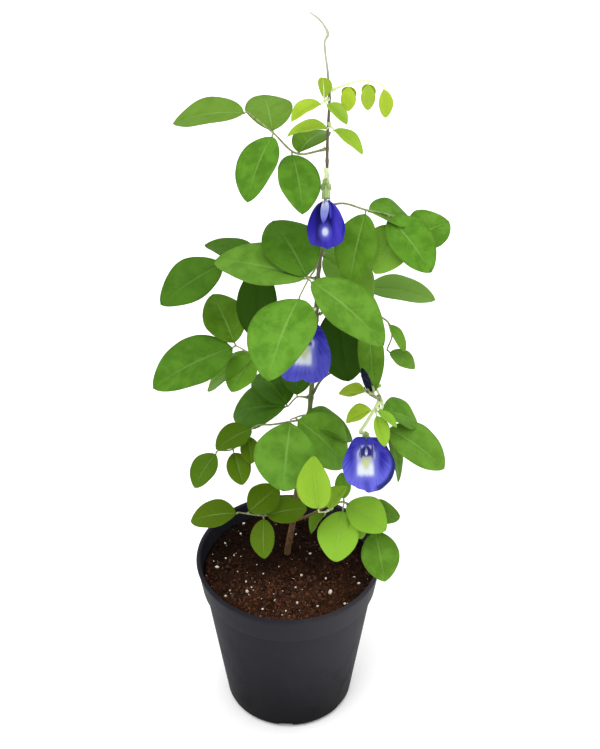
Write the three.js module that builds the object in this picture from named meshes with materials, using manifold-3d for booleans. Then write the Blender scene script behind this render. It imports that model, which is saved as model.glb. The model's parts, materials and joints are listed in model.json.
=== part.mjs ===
// A butterfly pea in a black nursery pot: a twining shrub with pinnate leaves and blue flowers.
// Millimetres, +Z up. The origin is the middle of the pot's underside. The side that shows the open
// flowers faces -Y.
import * as THREE from "three";
import { mergeVertices } from "three/addons/utils/BufferGeometryUtils.js";
import Module from "manifold-3d";

const wasm = await Module();
wasm.setup();

// Driving dimensions of the pot: a 130 mm nursery pot with a deep lip.
const POT_HEIGHT = 129;
const RIM_RADIUS = 65;
const LIP_DEPTH = 23;
const LIP_FOOT_RADIUS = 61.4;
const BODY_TOP_RADIUS = 59.4;
const BASE_RADIUS = 45.5;
const HEEL = 5.5; // radius of the round between the wall and the underside
const HEEL_STEPS = 3;
const WALL = 1.8;
const RIM_WIDTH = 3.2;
const EDGE = 0.6; // small bevels of the rim and the lip's foot
const FLOOR = 2.4;
const POT_SIDES = 36;
const FLOOR_HOLES = 6;
const FLOOR_HOLE_RADIUS = 4.5;
const FLOOR_HOLE_CIRCLE = 27;
const HOLE_SIDES = 8;
const HEEL_NOTCH = { width: 11, height: 4.5, depth: 8, turn: 27 };

// The soil stands a finger's width below the rim, a little higher round the stem.
const SOIL_LEVEL = 115;
const SOIL_MOUND = 2;
const SOIL_RELIEF = 0.7;
const SOIL_WAVES = { coarse: [0.31, 0.27], fine: [0.55, -0.42], turn: 1.6, share: 0.6 };
const SOIL_RINGS = 6;

const GAP = 0.4; // between pieces of different nodes that meet
const BLADE = 0.7; // thickness of a leaf blade
const PETAL = 0.7; // thickness of a petal
const PETAL_GAP = 0.34; // round the petals, less than half their thickness
const STEM_SIDES = 6;
const STALK_SIDES = 4;

// Stems as [x, y, z, radius] points. A place on a stem is a number: 2.5 is halfway from point 2 to
// point 3.
const STEMS = {
  main: [
    [-1, 16, 94, 2.2],
    [-1, 16, 117, 2.3],
    [3, 13, 150, 2.1],
    [6, 10, 184, 1.9],
    [10, 7, 219, 1.8],
    [14, 3, 254, 1.7],
    [15, 2, 270, 1.6],
    [17, 1, 304, 1.5],
    [18, 0, 334, 1.4],
    [19, 0, 366, 1.3],
    [21.5, 0, 396, 1.2],
    [23, 0, 420, 1.1],
    [24, 0, 440, 1],
    [24, 0, 460, 0.9],
    [24.5, 0, 478, 0.85],
    [25, 0, 494, 0.75],
    [24, 0, 510, 0.65],
    [22, 0, 531, 0.6],
    [23.7, -1, 536, 0.9],
    [21.5, 0, 541, 0.6],
    [18, 1, 545, 0.6],
    [13.5, 2, 548, 0.5],
  ],
  right_shoot: [
    [15, 2, 270, 1],
    [24, 0, 289, 0.8],
    [38, 0, 296, 0.75],
    [50, -9, 297, 0.75],
    [57, -22, 295, 0.75],
    [60, -31, 293, 0.75],
  ],
  front_shoot: [
    [3, 13, 150, 1.2],
    [15, 7, 161, 1.1],
    [24, -8, 182, 1],
    [29, -26, 201, 0.9],
    [29, -42, 212, 0.8],
  ],
};

// A leaf's stalk runs from its node on a stem through [x, y, z] points. A leaflet is its place on the
// stalk, then heading (degrees anticlockwise from +X, seen from above), pitch and roll in degrees, and
// length and width in millimetres. A last value, where there is one, is a longer stalk of its own.
const LEAVES = {
  leaf_bottom_left: {
    on: ["main", 2.1],
    stalk: [[-5, 3, 166], [-17, -11, 177], [-33, -20, 188]],
    leaflets: [
      [2, 12, 2, 22, 28, 21],
      [2, -88, -46, 20, 27, 18],
      [2.7, 42, 14, 25, 27, 22],
      [3, 174, -18, -12, 33, 24],
    ],
  },
  leaf_lower_left: {
    on: ["main", 4.9],
    stalk: [[-9, -4, 252], [-22, -14, 258], [-36, -21, 245], [-46, -25, 247]],
    leaflets: [
      [2, -150, -14, -6, 27, 21],
      [2.3, -80, -50, 0, 18, 13],
      [3, -68, -47, 0, 22, 17],
      [4, -133, -40, 0, 26, 20],
    ],
  },
  leaf_lower_front: {
    on: ["main", 5],
    stalk: [[9, -12, 266], [2, -28, 276]],
    leaflets: [
      [2, -106, -68, -5, 47, 42],
      [1.6, -14, -46, 16, 46, 39],
      [1, 4, -34, 0, 38, 30],
    ],
  },
  leaf_lower_back: {
    on: ["main", 6],
    stalk: [[6, 6, 267], [0, 5, 260]],
    leaflets: [
      [2, 158, -24, -22, 41, 38],
      [2, 118, 0, -5, 38, 30],
      [1, 92, 4, 0, 36, 24],
    ],
  },
  leaf_mid_left: {
    on: ["main", 8],
    stalk: [[0, 1, 322], [-20, -2, 309], [-33, -4, 317]],
    leaflets: [
      [2, -137, -40, 0, 27, 25],
      [2, 172, -46, -10, 45, 24],
      [3, 116, 27, -12, 37, 28],
      [3, -160, -19, -14, 57, 38],
    ],
  },
  leaf_upper_mid_left: {
    on: ["main", 9],
    stalk: [[2, 7, 366], [-17, 12, 370], [-39, 9, 373]],
    leaflets: [
      [2, 158, 6, 5, 36, 26],
      [2, -102, -78, 0, 52, 27],
      [3, -155, -24, -22, 46, 30],
    ],
  },
  leaf_front: {
    on: ["main", 10],
    stalk: [[17.5, -17, 387], [13, -34, 390], [8, -41, 383]],
    leaflets: [
      [2, 162, 0, -12, 58, 35],
      [2, -28, -32, 8, 58, 37],
      [2, 118, 18, -8, 46, 36],
      [3, -110, -24, 8, 58, 43],
    ],
  },
  leaf_right: {
    on: ["main", 9.3],
    stalk: [[21, 6, 381], [36, 13, 368], [48, 13, 351]],
    leaflets: [
      [1, -26, -38, 12, 42, 34],
      [2, 110, -8, 0, 40, 26],
      [3, -8, -7, 6, 44, 25],
    ],
  },
  leaf_upper_right: {
    on: ["main", 11],
    stalk: [[34, 0, 422], [48, 2, 416], [61, 3, 412], [69, 6, 404], [73, 5, 390]],
    leaflets: [
      [2, -112, -56, 0, 44, 27],
      [2, 22, -31, 8, 37, 28],
      [3, -40, -38, 14, 42, 30],
      [4, -120, -32, -22, 34, 28],
      [5, 26, 12, 20, 29, 30],
    ],
  },
  leaf_shaded_right: {
    on: ["main", 8.1],
    stalk: [[31, 4, 344], [50, -5, 345], [63, -8, 339], [66, -9, 329], [63, -11, 319]],
    leaflets: [
      [1, -58, -74, 32, 52, 34],
      [2, -75, -70, 10, 52, 17],
      [3, -36, -52, 0, 20, 10],
      [5, -25, -24, 8, 19, 14],
    ],
  },
  leaf_upper_left: {
    on: ["main", 13],
    stalk: [[6, 0, 457], [-8, 7, 467], [-23, 14, 477]],
    leaflets: [
      [1.2, -80, -30, -12, 40, 27],
      [1, 62, -6, -6, 35, 22],
      [2, 99, 6, 0, 36, 29],
      [2, -115, -38, 12, 43, 28],
      [3, 168, -16, -10, 46, 27],
    ],
  },
  leaf_tip_left: {
    on: ["main", 14],
    stalk: [[26, -5, 478]],
    leaflets: [
      [1, 180, -14, 6, 24, 17],
      [1, -24, -34, 0, 22, 13],
    ],
  },
  leaf_tip_cluster: {
    on: ["main", 15],
    stalk: [[22, -5, 495]],
    leaflets: [
      [1, -104, 76, 0, 16, 10],
      [1, -165, -28, -10, 20, 14],
      [1, -42, -26, 10, 17, 11],
    ],
  },
  leaf_tip_right: {
    on: ["main", 15.3],
    stalk: [[31, -2, 503], [38, -4, 507], [47, -6, 509], [56, -8, 507]],
    leaflets: [
      [1.7, -90, -74, 0, 14, 9],
      [1.7, 80, -80, 0, 12, 9],
      [3, -90, -76, 0, 15, 8.5],
      [3, 80, -80, 0, 13, 8.5],
      [4, -70, -78, 0, 17, 9],
    ],
  },
  leaf_shoot_young: {
    on: ["right_shoot", 5],
    stalk: [[60, -36, 292], [55, -39, 294]],
    leaflets: [
      [2, -172, -28, 0, 18, 16],
      [2, -34, -26, 0, 16, 8],
      [2, -66, -50, 0, 20, 11, 5],
    ],
  },
  leaf_shoot_right: {
    on: ["right_shoot", 4.6],
    stalk: [[59, -24, 281], [63, -29, 271]],
    leaflets: [
      [1, 12, -32, 6, 28, 29],
      [2, -30, -76, 0, 42, 13],
      [2, -26, -26, 12, 44, 30],
    ],
  },
  leaf_shoot_small: {
    on: ["right_shoot", 3],
    stalk: [[52, -13, 287]],
    leaflets: [
      [1, 165, -16, 0, 18, 15],
      [1, 70, -20, 0, 15, 11],
    ],
  },
  leaf_front_right: {
    on: ["front_shoot", 3.1],
    stalk: [[37, -34, 210], [50, -34, 200], [58, -32, 185]],
    leaflets: [
      [1, 95, 34, 0, 18, 11],
      [1, -25, -24, 14, 31, 28],
      [1, -104, -52, 0, 34, 28, 6],
      [1.3, -58, -50, 0, 22, 16],
      [2, 12, -16, 10, 24, 21],
      [3, -74, -48, 10, 34, 26],
    ],
  },
  leaf_front_young: {
    on: ["front_shoot", 4],
    stalk: [[25, -52, 218], [20, -58, 223]],
    leaflets: [
      [2, 104, 70, -25, 37, 26],
      [1, 30, 42, 0, 19, 16],
      [1, -162, -58, 0, 17, 13],
    ],
  },
};

// Young leaves are folded along the midrib; the others are nearly flat.
const YOUNG_FOLD = {
  leaf_tip_cluster: 32,
  leaf_tip_left: 18,
  leaf_front_young: 28,
  leaf_shoot_young: 16,
};
const MATURE_FOLD = 9;
const LEAFLET_GRID = { stations: [0, 0.15, 0.38, 0.64, 0.87, 1], lanes: [-1, 0, 1] };
const SMALL_GRID = { stations: [0, 0.3, 0.7, 1], lanes: [-1, 1] };
const LEAFLET_STALK = 2.4;
const STALK_RADIUS = 0.75;
const BLADE_END = 0.65; // least half width of a blade
const BASE_FULLNESS = 0.9; // under 1, the widest place moves towards the base
const BLUNTNESS = 0.66; // under 1, the outline is fuller than a sine
const PHASE_STEP = 2.4; // turns the margin's waves from one leaflet to the next
const BOW = 0.07; // rise of the midrib's arch, as a share of its length
const WAVE = 0.05; // rise of the margin's waves, as a share of the half width
const WAVE_TURN = 9; // how far the waves turn along a margin, in radians

// A flower's stalk ends at the neck of its calyx, a tube that leads to the throat. From the throat the
// banner spreads, placed like a leaflet and hanging lowest. lean is the angle of the calyx out of the
// banner's plane, closed is how far the banner's sides curl towards each other, and skew is how much
// wider than the other half its half on the side direction is.
const FLOWERS = {
  flower_top: {
    on: ["main", 12.6],
    stalk: [[23.6, -3.2, 447], [23.4, -3.2, 441.2]],
    banner: [-90, -62, 0, 27, 28],
    outline: "furled",
    lean: 17,
    closed: 0.35,
    skew: 0,
  },
  flower_middle: {
    on: ["main", 8.3],
    stalk: [[15, -4.5, 346], [12.1, -4.7, 340]],
    banner: [-94, -54, 0, 29, 35],
    outline: "spread",
    lean: 34,
    closed: 0.15,
    skew: 0,
  },
  flower_open: {
    on: ["right_shoot", 4.75],
    stalk: [[55.5, -31.2, 287.2], [49.5, -31.8, 274.5], [46.6, -32, 268.4], [50.2, -30.7, 266.9]],
    banner: [-90, -50, 0, 26, 34.2],
    outline: "open",
    lean: 30,
    closed: 0.1,
    skew: 0.1,
  },
};
// Half of a banner's outline, as [across, along] shares of its half width and its throat-to-tip
// length. It starts beside the slit above the throat and ends in the notch at the tip.
const BANNER_OUTLINES = {
  spread: [[0.1, -0.27], [0.5, -0.24], [0.86, 0.14], [1, 0.5], [0.84, 0.84], [0.4, 1.02], [0, 0.93]],
  open: [[0.1, -0.35], [0.47, -0.35], [0.76, -0.08], [1, 0.3], [0.87, 0.66], [0.45, 0.92], [0, 0.97]],
  furled: [[0.12, -0.05], [0.36, 0.04], [0.74, 0.27], [1, 0.56], [0.82, 0.84], [0.44, 0.98], [0, 1.02]],
};
const BANNER_RAYS = 18;
const BANNER_RINGS = [0.12, 0.5, 0.8, 1];
const BANNER_FUNNEL = 1.5; // how far the banner's face bulges
const RUFFLE = { rise: 0.9, turn: 11 }; // waves of the banner's rim
const WING = { length: 9, width: 5, apart: 2.4, pitch: 60 };
const KEEL = { length: 8, back: 0.3, rise: 1.8, arch: 3, archTurn: 1.6, sides: 7 };
const KEEL_SHAPE = [[0, 0.6], [0.35, 1.2], [0.7, 1.3], [1, 0.6]]; // share of length, radius
const PEDICEL_RADIUS = 1.2;
const CALYX = {
  length: 14, // from its neck to the throat
  setBack: 2.2, // from the mouth of its tube to the throat
  sides: 7,
  lobes: 5,
  lobeFoot: 0.24,
  lobeInset: 2.4,
  lobeLength: 3.6,
  lobeWidth: 3.4,
  lobeSplay: 14,
  lobeTurn: 54,
};
const CALYX_SHAPE = [[0, 1.3], [0.25, 2.4], [0.6, 2.7], [1, 3]]; // share of length, radius
const BUD = {
  on: ["right_shoot", 4.4],
  stalk: [[57.5, -32, 296.5], [53.5, -34, 300.5]],
  heading: 165,
  pitch: 70,
  length: 20,
  sunk: 1.5, // from the calyx's neck to the foot of the petals
  calyxLength: 6.5,
  sides: 9,
};
const BUD_SHAPE = [[0, 1.3], [0.2, 2], [0.45, 2.7], [0.7, 2.4], [0.9, 1.5], [1, 0.8]]; // share, radius
const BUD_CUP_SHAPE = [[0, PEDICEL_RADIUS], [0.17, 1.9], [0.6, 2.9], [1, 3.4]];

const LEAF_GREEN = { color: 0x4f8f2c, roughness: 0.5 };
const YOUNG_GREEN = { color: 0x9ccc2a, roughness: 0.5 };
const PETAL_BLUE = { color: 0x3f35c0, roughness: 0.6 };
const THROAT_WHITE = { color: 0xe9ecf2, roughness: 0.6 };
const CALYX_GREEN = { color: 0x9bbf66, roughness: 0.6 };
const STEM_BROWN = { color: 0x7d6a4c, roughness: 0.8 };
const SOIL_BROWN = { color: 0x2b160d, roughness: 1 };
const POT_BLACK = { color: 0x34343a, roughness: 0.55 };

const part = new THREE.Group();

function show(name, body, finish) {
  const mesh = new THREE.Mesh(geometryOf(body), new THREE.MeshStandardMaterial({ metalness: 0, ...finish }));
  mesh.name = name;
  part.add(mesh);
}

function geometryOf(body) {
  const { vertProperties, triVerts } = body.getMesh();
  const geometry = new THREE.BufferGeometry();
  geometry.setAttribute("position", new THREE.BufferAttribute(vertProperties, 3));
  geometry.setIndex(new THREE.BufferAttribute(triVerts, 1));
  geometry.computeVertexNormals();
  return geometry;
}

function solid(points, triangles) {
  const vertProperties = new Float32Array(points.flatMap((p) => [p.x, p.y, p.z]));
  return new wasm.Manifold(
    new wasm.Mesh({ numProp: 3, vertProperties, triVerts: new Uint32Array(triangles.flat()) }),
  );
}

function solidOf(geometry) {
  const bare = geometry.clone();
  bare.deleteAttribute("normal");
  bare.deleteAttribute("uv");
  const merged = mergeVertices(bare, 1e-4);
  return new wasm.Manifold(
    new wasm.Mesh({
      numProp: 3,
      vertProperties: new Float32Array(merged.attributes.position.array),
      triVerts: new Uint32Array(merged.index.array),
    }),
  );
}

function join(bodies) {
  return bodies.reduce((whole, body) => whole.add(body));
}

function largest(body) {
  return body.decompose().sort((a, b) => b.volume() - a.volume())[0];
}

const vector = ([x, y, z]) => new THREE.Vector3(x, y, z);
const radians = THREE.MathUtils.degToRad;

// Forward along a heading and pitch, side to its left and up out of its face, turned by roll.
function frameOf(heading, pitch, roll) {
  const [h, p, r] = [heading, pitch, roll].map(radians);
  const forward = new THREE.Vector3(Math.cos(h) * Math.cos(p), Math.sin(h) * Math.cos(p), Math.sin(p));
  const side = new THREE.Vector3(-Math.sin(h), Math.cos(h), 0).applyAxisAngle(forward, r);
  const up = forward.clone().cross(side);
  return { forward, side, up };
}

// A round bar through points, with a radius at each.
function bar(points, radii, sides) {
  const last = points.length - 1;
  const tangentAt = (i) => points[Math.min(i + 1, last)].clone().sub(points[Math.max(i - 1, 0)]).normalize();
  let tangent = tangentAt(0);
  const helper = Math.abs(tangent.z) > 0.9 ? new THREE.Vector3(1, 0, 0) : new THREE.Vector3(0, 0, 1);
  let across = helper.cross(tangent).normalize();
  const ring = [];
  points.forEach((point, i) => {
    const next = tangentAt(i);
    across.applyQuaternion(new THREE.Quaternion().setFromUnitVectors(tangent, next));
    across.sub(next.clone().multiplyScalar(across.dot(next))).normalize();
    tangent = next;
    for (let k = 0; k < sides; k += 1) {
      const spoke = across.clone().applyAxisAngle(tangent, (2 * Math.PI * k) / sides);
      ring.push(point.clone().addScaledVector(spoke, radii[i]));
    }
  });
  const triangles = [];
  for (let i = 0; i < last; i += 1) {
    for (let k = 0; k < sides; k += 1) {
      const [a, b] = [i * sides + k, i * sides + ((k + 1) % sides)];
      triangles.push([a, b, b + sides], [a, b + sides, a + sides]);
    }
  }
  for (let k = 1; k < sides - 1; k += 1) {
    triangles.push([0, k + 1, k]);
    triangles.push([last * sides, last * sides + k, last * sides + k + 1]);
  }
  return solid(ring, triangles);
}

// A sheet between two like grids of points, rows by lanes, closed round its edge.
function sheet(top, bottom) {
  const [rows, lanes] = [top.length, top[0].length];
  const points = [...top.flat(), ...bottom.flat()];
  const at = (i, j, under) => (under ? rows * lanes : 0) + i * lanes + j;
  const triangles = [];
  for (let i = 0; i < rows - 1; i += 1) {
    for (let j = 0; j < lanes - 1; j += 1) {
      triangles.push([at(i, j), at(i + 1, j), at(i + 1, j + 1)], [at(i, j), at(i + 1, j + 1), at(i, j + 1)]);
      triangles.push([at(i, j, 1), at(i + 1, j + 1, 1), at(i + 1, j, 1)]);
      triangles.push([at(i, j, 1), at(i, j + 1, 1), at(i + 1, j + 1, 1)]);
    }
  }
  const edge = [];
  for (let i = 0; i < rows - 1; i += 1) edge.push([i, 0]);
  for (let j = 0; j < lanes - 1; j += 1) edge.push([rows - 1, j]);
  for (let i = rows - 1; i > 0; i -= 1) edge.push([i, lanes - 1]);
  for (let j = lanes - 1; j > 0; j -= 1) edge.push([0, j]);
  edge.forEach(([i, j], k) => {
    const [m, n] = edge[(k + 1) % edge.length];
    triangles.push([at(i, j), at(i, j, 1), at(m, n, 1)], [at(i, j), at(m, n, 1), at(m, n)]);
  });
  return solid(points, triangles);
}

const stemCurves = Object.fromEntries(
  Object.entries(STEMS).map(([name, points]) => [name, new THREE.CatmullRomCurve3(points.map(vector))]),
);

function stemAt(name, place) {
  const points = STEMS[name];
  const curve = stemCurves[name];
  const low = Math.min(Math.floor(place), points.length - 2);
  const radius = THREE.MathUtils.lerp(points[low][3], points[low + 1][3], place - low);
  const t = place / (points.length - 1);
  return { point: curve.getPoint(t), tangent: curve.getTangent(t), radius };
}

// Where a stalk of some radius starts, clear of the stem that it grows from, on its way to a point.
function nodeStart([name, place], towards, stalkRadius) {
  const { point, tangent, radius } = stemAt(name, place);
  const way = towards.clone().sub(point).normalize();
  const along = Math.abs(way.dot(tangent));
  const across = Math.sqrt(1 - along * along);
  const besideStem = (radius + GAP + stalkRadius * along) / across;
  const pastEnd = (GAP + stalkRadius * across) / along;
  const atEnd = place === STEMS[name].length - 1;
  return point.addScaledVector(way, atEnd ? Math.min(besideStem, pastEnd) : besideStem);
}

function stalkPath(on, stalk, stalkRadius) {
  const points = stalk.map(vector);
  const start = nodeStart(on, points[0], stalkRadius);
  return new THREE.CatmullRomCurve3([start, ...points]);
}

// Half width of a leaflet at a share of its length: rounded at the base and blunt at the tip.
function leafletHalf(share, width) {
  return Math.max((width / 2) * Math.sin(Math.PI * share ** BASE_FULLNESS) ** BLUNTNESS, BLADE_END);
}

// An arched, folded and waved blade on a narrow stalk of its own, for a leaflet, a sepal or a wing.
function blade(foot, { forward, side, up }, [length, width, stalk], { stations, lanes }, fold, phase) {
  const [rise, spread] = [Math.sin(radians(fold)), Math.cos(radians(fold))];
  const stops = stations.map((share) => ({ share, along: stalk + share * length }));
  if (stalk > 0) stops.unshift({ share: 0, along: 0 });
  const gridAt = (lift) =>
    stops.map(({ share, along }) => {
      const half = leafletHalf(share, width);
      return lanes.map((lane) => {
        const ripple = WAVE * half * lane * lane * Math.sin(phase + WAVE_TURN * share + lane);
        const arch = 4 * BOW * length * share * (1 - share);
        return foot
          .clone()
          .addScaledVector(forward, along)
          .addScaledVector(side, half * lane * spread)
          .addScaledVector(up, arch + half * Math.abs(lane) * rise + ripple + lift);
      });
    });
  return sheet(gridAt(BLADE / 2), gridAt(-BLADE / 2));
}

function leaflet(foot, [, heading, pitch, roll, length, width, stalk = LEAFLET_STALK], fold, phase) {
  return blade(foot, frameOf(heading, pitch, roll), [length, width, stalk], LEAFLET_GRID, fold, phase);
}

function leaf(name) {
  const { on, stalk, leaflets } = LEAVES[name];
  const path = stalkPath(on, stalk, STALK_RADIUS);
  const points = path.getPoints(Math.max(2 * stalk.length, 3));
  const rachis = bar(points, points.map(() => STALK_RADIUS), STALK_SIDES);
  const fold = YOUNG_FOLD[name] ?? MATURE_FOLD;
  const place = (row) => path.getPoint(row[0] / stalk.length);
  return join([rachis, ...leaflets.map((row, i) => leaflet(place(row), row, fold, PHASE_STEP * i))]);
}

// The banner as a fan of rays from the throat to its outline.
function banner(throat, { forward, side, up }, [length, width], { outline, closed, skew }) {
  const half = new THREE.SplineCurve(BANNER_OUTLINES[outline].map(([x, y]) => new THREE.Vector2(x, y)));
  const curl = width / (2 * Math.PI * closed);
  const rim = Array.from({ length: BANNER_RAYS + 1 }, (_, i) => {
    const turn = (2 * i) / BANNER_RAYS - 1;
    const { x, y } = half.getPoint(1 - Math.abs(turn));
    return { across: ((Math.sign(turn) + skew) * x * width) / 2, along: y * length, turn };
  });
  const gridAt = (lift) =>
    BANNER_RINGS.map((ring) =>
      rim.map(({ across, along, turn }) => {
        const bend = (ring * across) / curl;
        const ruffle = RUFFLE.rise * ring ** 3 * Math.sin(RUFFLE.turn * turn);
        const funnel = BANNER_FUNNEL * Math.sin(Math.PI * ring);
        return throat
          .clone()
          .addScaledVector(forward, ring * along)
          .addScaledVector(side, Math.sin(bend) * curl)
          .addScaledVector(up, (1 - Math.cos(bend)) * curl + ruffle + funnel + lift);
      }),
    );
  return sheet(gridAt(PETAL / 2), gridAt(-PETAL / 2));
}

function wings(throat, { forward, side, up }) {
  const outward = forward.clone().applyAxisAngle(side, -radians(WING.pitch));
  return [-1, 1].map((hand) => {
    const face = side.clone().multiplyScalar(hand);
    const frame = { forward: outward, side: face.clone().cross(outward), up: face };
    const base = throat.clone().addScaledVector(face, WING.apart);
    return blade(base, frame, [WING.length, WING.width, 0], SMALL_GRID, 0, 0);
  });
}

function keel(throat, { forward, up }) {
  const points = KEEL_SHAPE.map(([share]) =>
    throat
      .clone()
      .addScaledVector(up, KEEL.rise + KEEL.arch * Math.sin(KEEL.archTurn * share))
      .addScaledVector(forward, KEEL.length * (share - KEEL.back)),
  );
  return bar(points, radiiOf(KEEL_SHAPE), KEEL.sides);
}

function radiiOf(shape) {
  return shape.map(([, radius]) => radius);
}

// A tube with five pointed lobes round it, from the end of its pedicel to its mouth.
function calyx(path, mouth, axis, side) {
  const neck = path.getPoint(1);
  const tube = CALYX_SHAPE.map(([share]) => neck.clone().lerp(mouth, share));
  const stalk = [...path.getPoints(4), tube[1]];
  const foot = neck.clone().lerp(mouth, CALYX.lobeFoot);
  const crown = Array.from({ length: CALYX.lobes }, (_, i) => {
    const spoke = side.clone().applyAxisAngle(axis, radians((360 * i) / CALYX.lobes + CALYX.lobeTurn));
    const across = spoke.clone().cross(axis);
    const forward = axis.clone().applyAxisAngle(across, -radians(CALYX.lobeSplay));
    const frame = { forward, side: across, up: forward.clone().cross(across) };
    const base = foot.clone().addScaledVector(spoke, CALYX.lobeInset);
    return blade(base, frame, [CALYX.lobeLength, CALYX.lobeWidth, 0], SMALL_GRID, 0, 0);
  });
  return join([
    bar(tube, radiiOf(CALYX_SHAPE), CALYX.sides),
    bar(stalk, stalk.map(() => PEDICEL_RADIUS), STALK_SIDES),
    ...crown,
  ]);
}

// The space of a petal or keel and the gap round it, to cut from what it meets.
function grown(body, { forward, side, up }) {
  const ways = [-PETAL_GAP, PETAL_GAP];
  const corners = ways.flatMap((a) => ways.flatMap((b) => ways.map((c) => [a, b, c])));
  const steps = corners.map(([a, b, c]) =>
    new THREE.Vector3().addScaledVector(forward, a).addScaledVector(side, b).addScaledVector(up, c),
  );
  return join([body, ...steps.map((step) => body.translate(step.toArray()))]);
}

function flower(name) {
  const { on, stalk, banner: row, lean } = FLOWERS[name];
  const [heading, pitch, roll, ...size] = row;
  const frame = frameOf(heading, pitch, roll);
  const path = stalkPath(on, stalk, PEDICEL_RADIUS);
  const axis = frame.forward.clone().applyAxisAngle(frame.side, -radians(lean));
  const throat = path.getPoint(1).addScaledVector(axis, CALYX.length);
  const petals = join([banner(throat, frame, size, FLOWERS[name]), ...wings(throat, frame)]);
  const room = grown(petals, frame);
  const heart = largest(keel(throat, frame).subtract(room));
  const mouth = throat.clone().addScaledVector(axis, -CALYX.setBack);
  const cup = largest(calyx(path, mouth, axis, frame.side).subtract(room).subtract(grown(heart, frame)));
  show(`${name}_petals`, petals, PETAL_BLUE);
  show(`${name}_keel`, heart, THROAT_WHITE);
  show(`${name}_calyx`, cup, CALYX_GREEN);
}

function bud() {
  const path = stalkPath(BUD.on, BUD.stalk, PEDICEL_RADIUS);
  const foot = path.getPoint(1);
  const { forward } = frameOf(BUD.heading, BUD.pitch, 0);
  const along = (distance) => foot.clone().addScaledVector(forward, distance);
  const furled = (swell) => {
    const points = BUD_SHAPE.map(([share]) => along(BUD.sunk + share * BUD.length));
    return bar(points, radiiOf(BUD_SHAPE).map((radius) => radius + swell), BUD.sides);
  };
  const cup = bar(
    BUD_CUP_SHAPE.map(([share]) => along(share * BUD.calyxLength)),
    radiiOf(BUD_CUP_SHAPE),
    BUD.sides,
  );
  const stalk = [...path.getPoints(3), along(1)];
  const pedicel = bar(stalk, stalk.map(() => PEDICEL_RADIUS), STALK_SIDES);
  show("bud_petals", furled(0), PETAL_BLUE);
  show("bud_calyx", cup.add(pedicel).subtract(furled(GAP)), CALYX_GREEN);
}

function stems() {
  return join(Object.keys(STEMS).map((name) => bar(...stemStops(name), STEM_SIDES)));
}

function stemStops(name) {
  const stops = STEMS[name].map((_, place) => stemAt(name, place));
  return [stops.map((stop) => stop.point), stops.map((stop) => stop.radius)];
}

// A quarter round between the underside or floor and the wall, as [radius, height] points.
function heelRound(radius) {
  return Array.from({ length: HEEL_STEPS + 1 }, (_, i) => {
    const turn = (Math.PI * i) / 2 / HEEL_STEPS;
    return [BASE_RADIUS - HEEL + radius * Math.sin(turn), HEEL - radius * Math.cos(turn)];
  });
}

// The inner wall of the pot, from its lowest straight part to the rim, as [radius, height].
const INNER_WALL = [
  [BODY_TOP_RADIUS - WALL, POT_HEIGHT - LIP_DEPTH - 1],
  [LIP_FOOT_RADIUS - WALL, POT_HEIGHT - LIP_DEPTH + 2],
  [RIM_RADIUS - RIM_WIDTH, POT_HEIGHT - 1],
];

function pot() {
  const lipFoot = POT_HEIGHT - LIP_DEPTH;
  const profile = [
    [0, 0],
    ...heelRound(HEEL),
    [BODY_TOP_RADIUS, lipFoot],
    [LIP_FOOT_RADIUS - EDGE, lipFoot],
    [LIP_FOOT_RADIUS, lipFoot + EDGE],
    [RIM_RADIUS - EDGE, POT_HEIGHT - RIM_WIDTH],
    [RIM_RADIUS, POT_HEIGHT - 2 * EDGE],
    [RIM_RADIUS - EDGE, POT_HEIGHT],
    [RIM_RADIUS - RIM_WIDTH + EDGE, POT_HEIGHT],
    ...INNER_WALL.toReversed(),
    ...heelRound(HEEL - FLOOR).toReversed(),
    [0, FLOOR],
  ];
  const lathe = new THREE.LatheGeometry(profile.map(([r, z]) => new THREE.Vector2(r, z)), POT_SIDES);
  let body = solidOf(lathe.rotateX(Math.PI / 2));
  const drill = new THREE.CylinderGeometry(FLOOR_HOLE_RADIUS, FLOOR_HOLE_RADIUS, 4 * FLOOR, HOLE_SIDES);
  drill.rotateX(Math.PI / 2).translate(FLOOR_HOLE_CIRCLE, 0, 0);
  const { width, height, depth, turn } = HEEL_NOTCH;
  const notch = new THREE.BoxGeometry(depth, width, 2 * height).translate(BASE_RADIUS, 0, 0);
  for (let i = 0; i < FLOOR_HOLES; i += 1) {
    const step = (2 * Math.PI * i) / FLOOR_HOLES;
    body = body.subtract(solidOf(drill.clone().rotateZ(step)));
    body = body.subtract(solidOf(notch.clone().rotateZ(step + radians(turn))));
  }
  return body;
}

function soilHeight(x, y) {
  const mound = SOIL_MOUND * (1 - Math.hypot(x, y) / RIM_RADIUS);
  const { coarse, fine, turn, share } = SOIL_WAVES;
  const lumps = Math.sin(coarse[0] * x + turn) * Math.sin(coarse[1] * y);
  const grit = share * Math.sin(fine[0] * x + fine[1] * y + turn);
  return SOIL_LEVEL + mound + SOIL_RELIEF * (lumps + grit);
}

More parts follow.
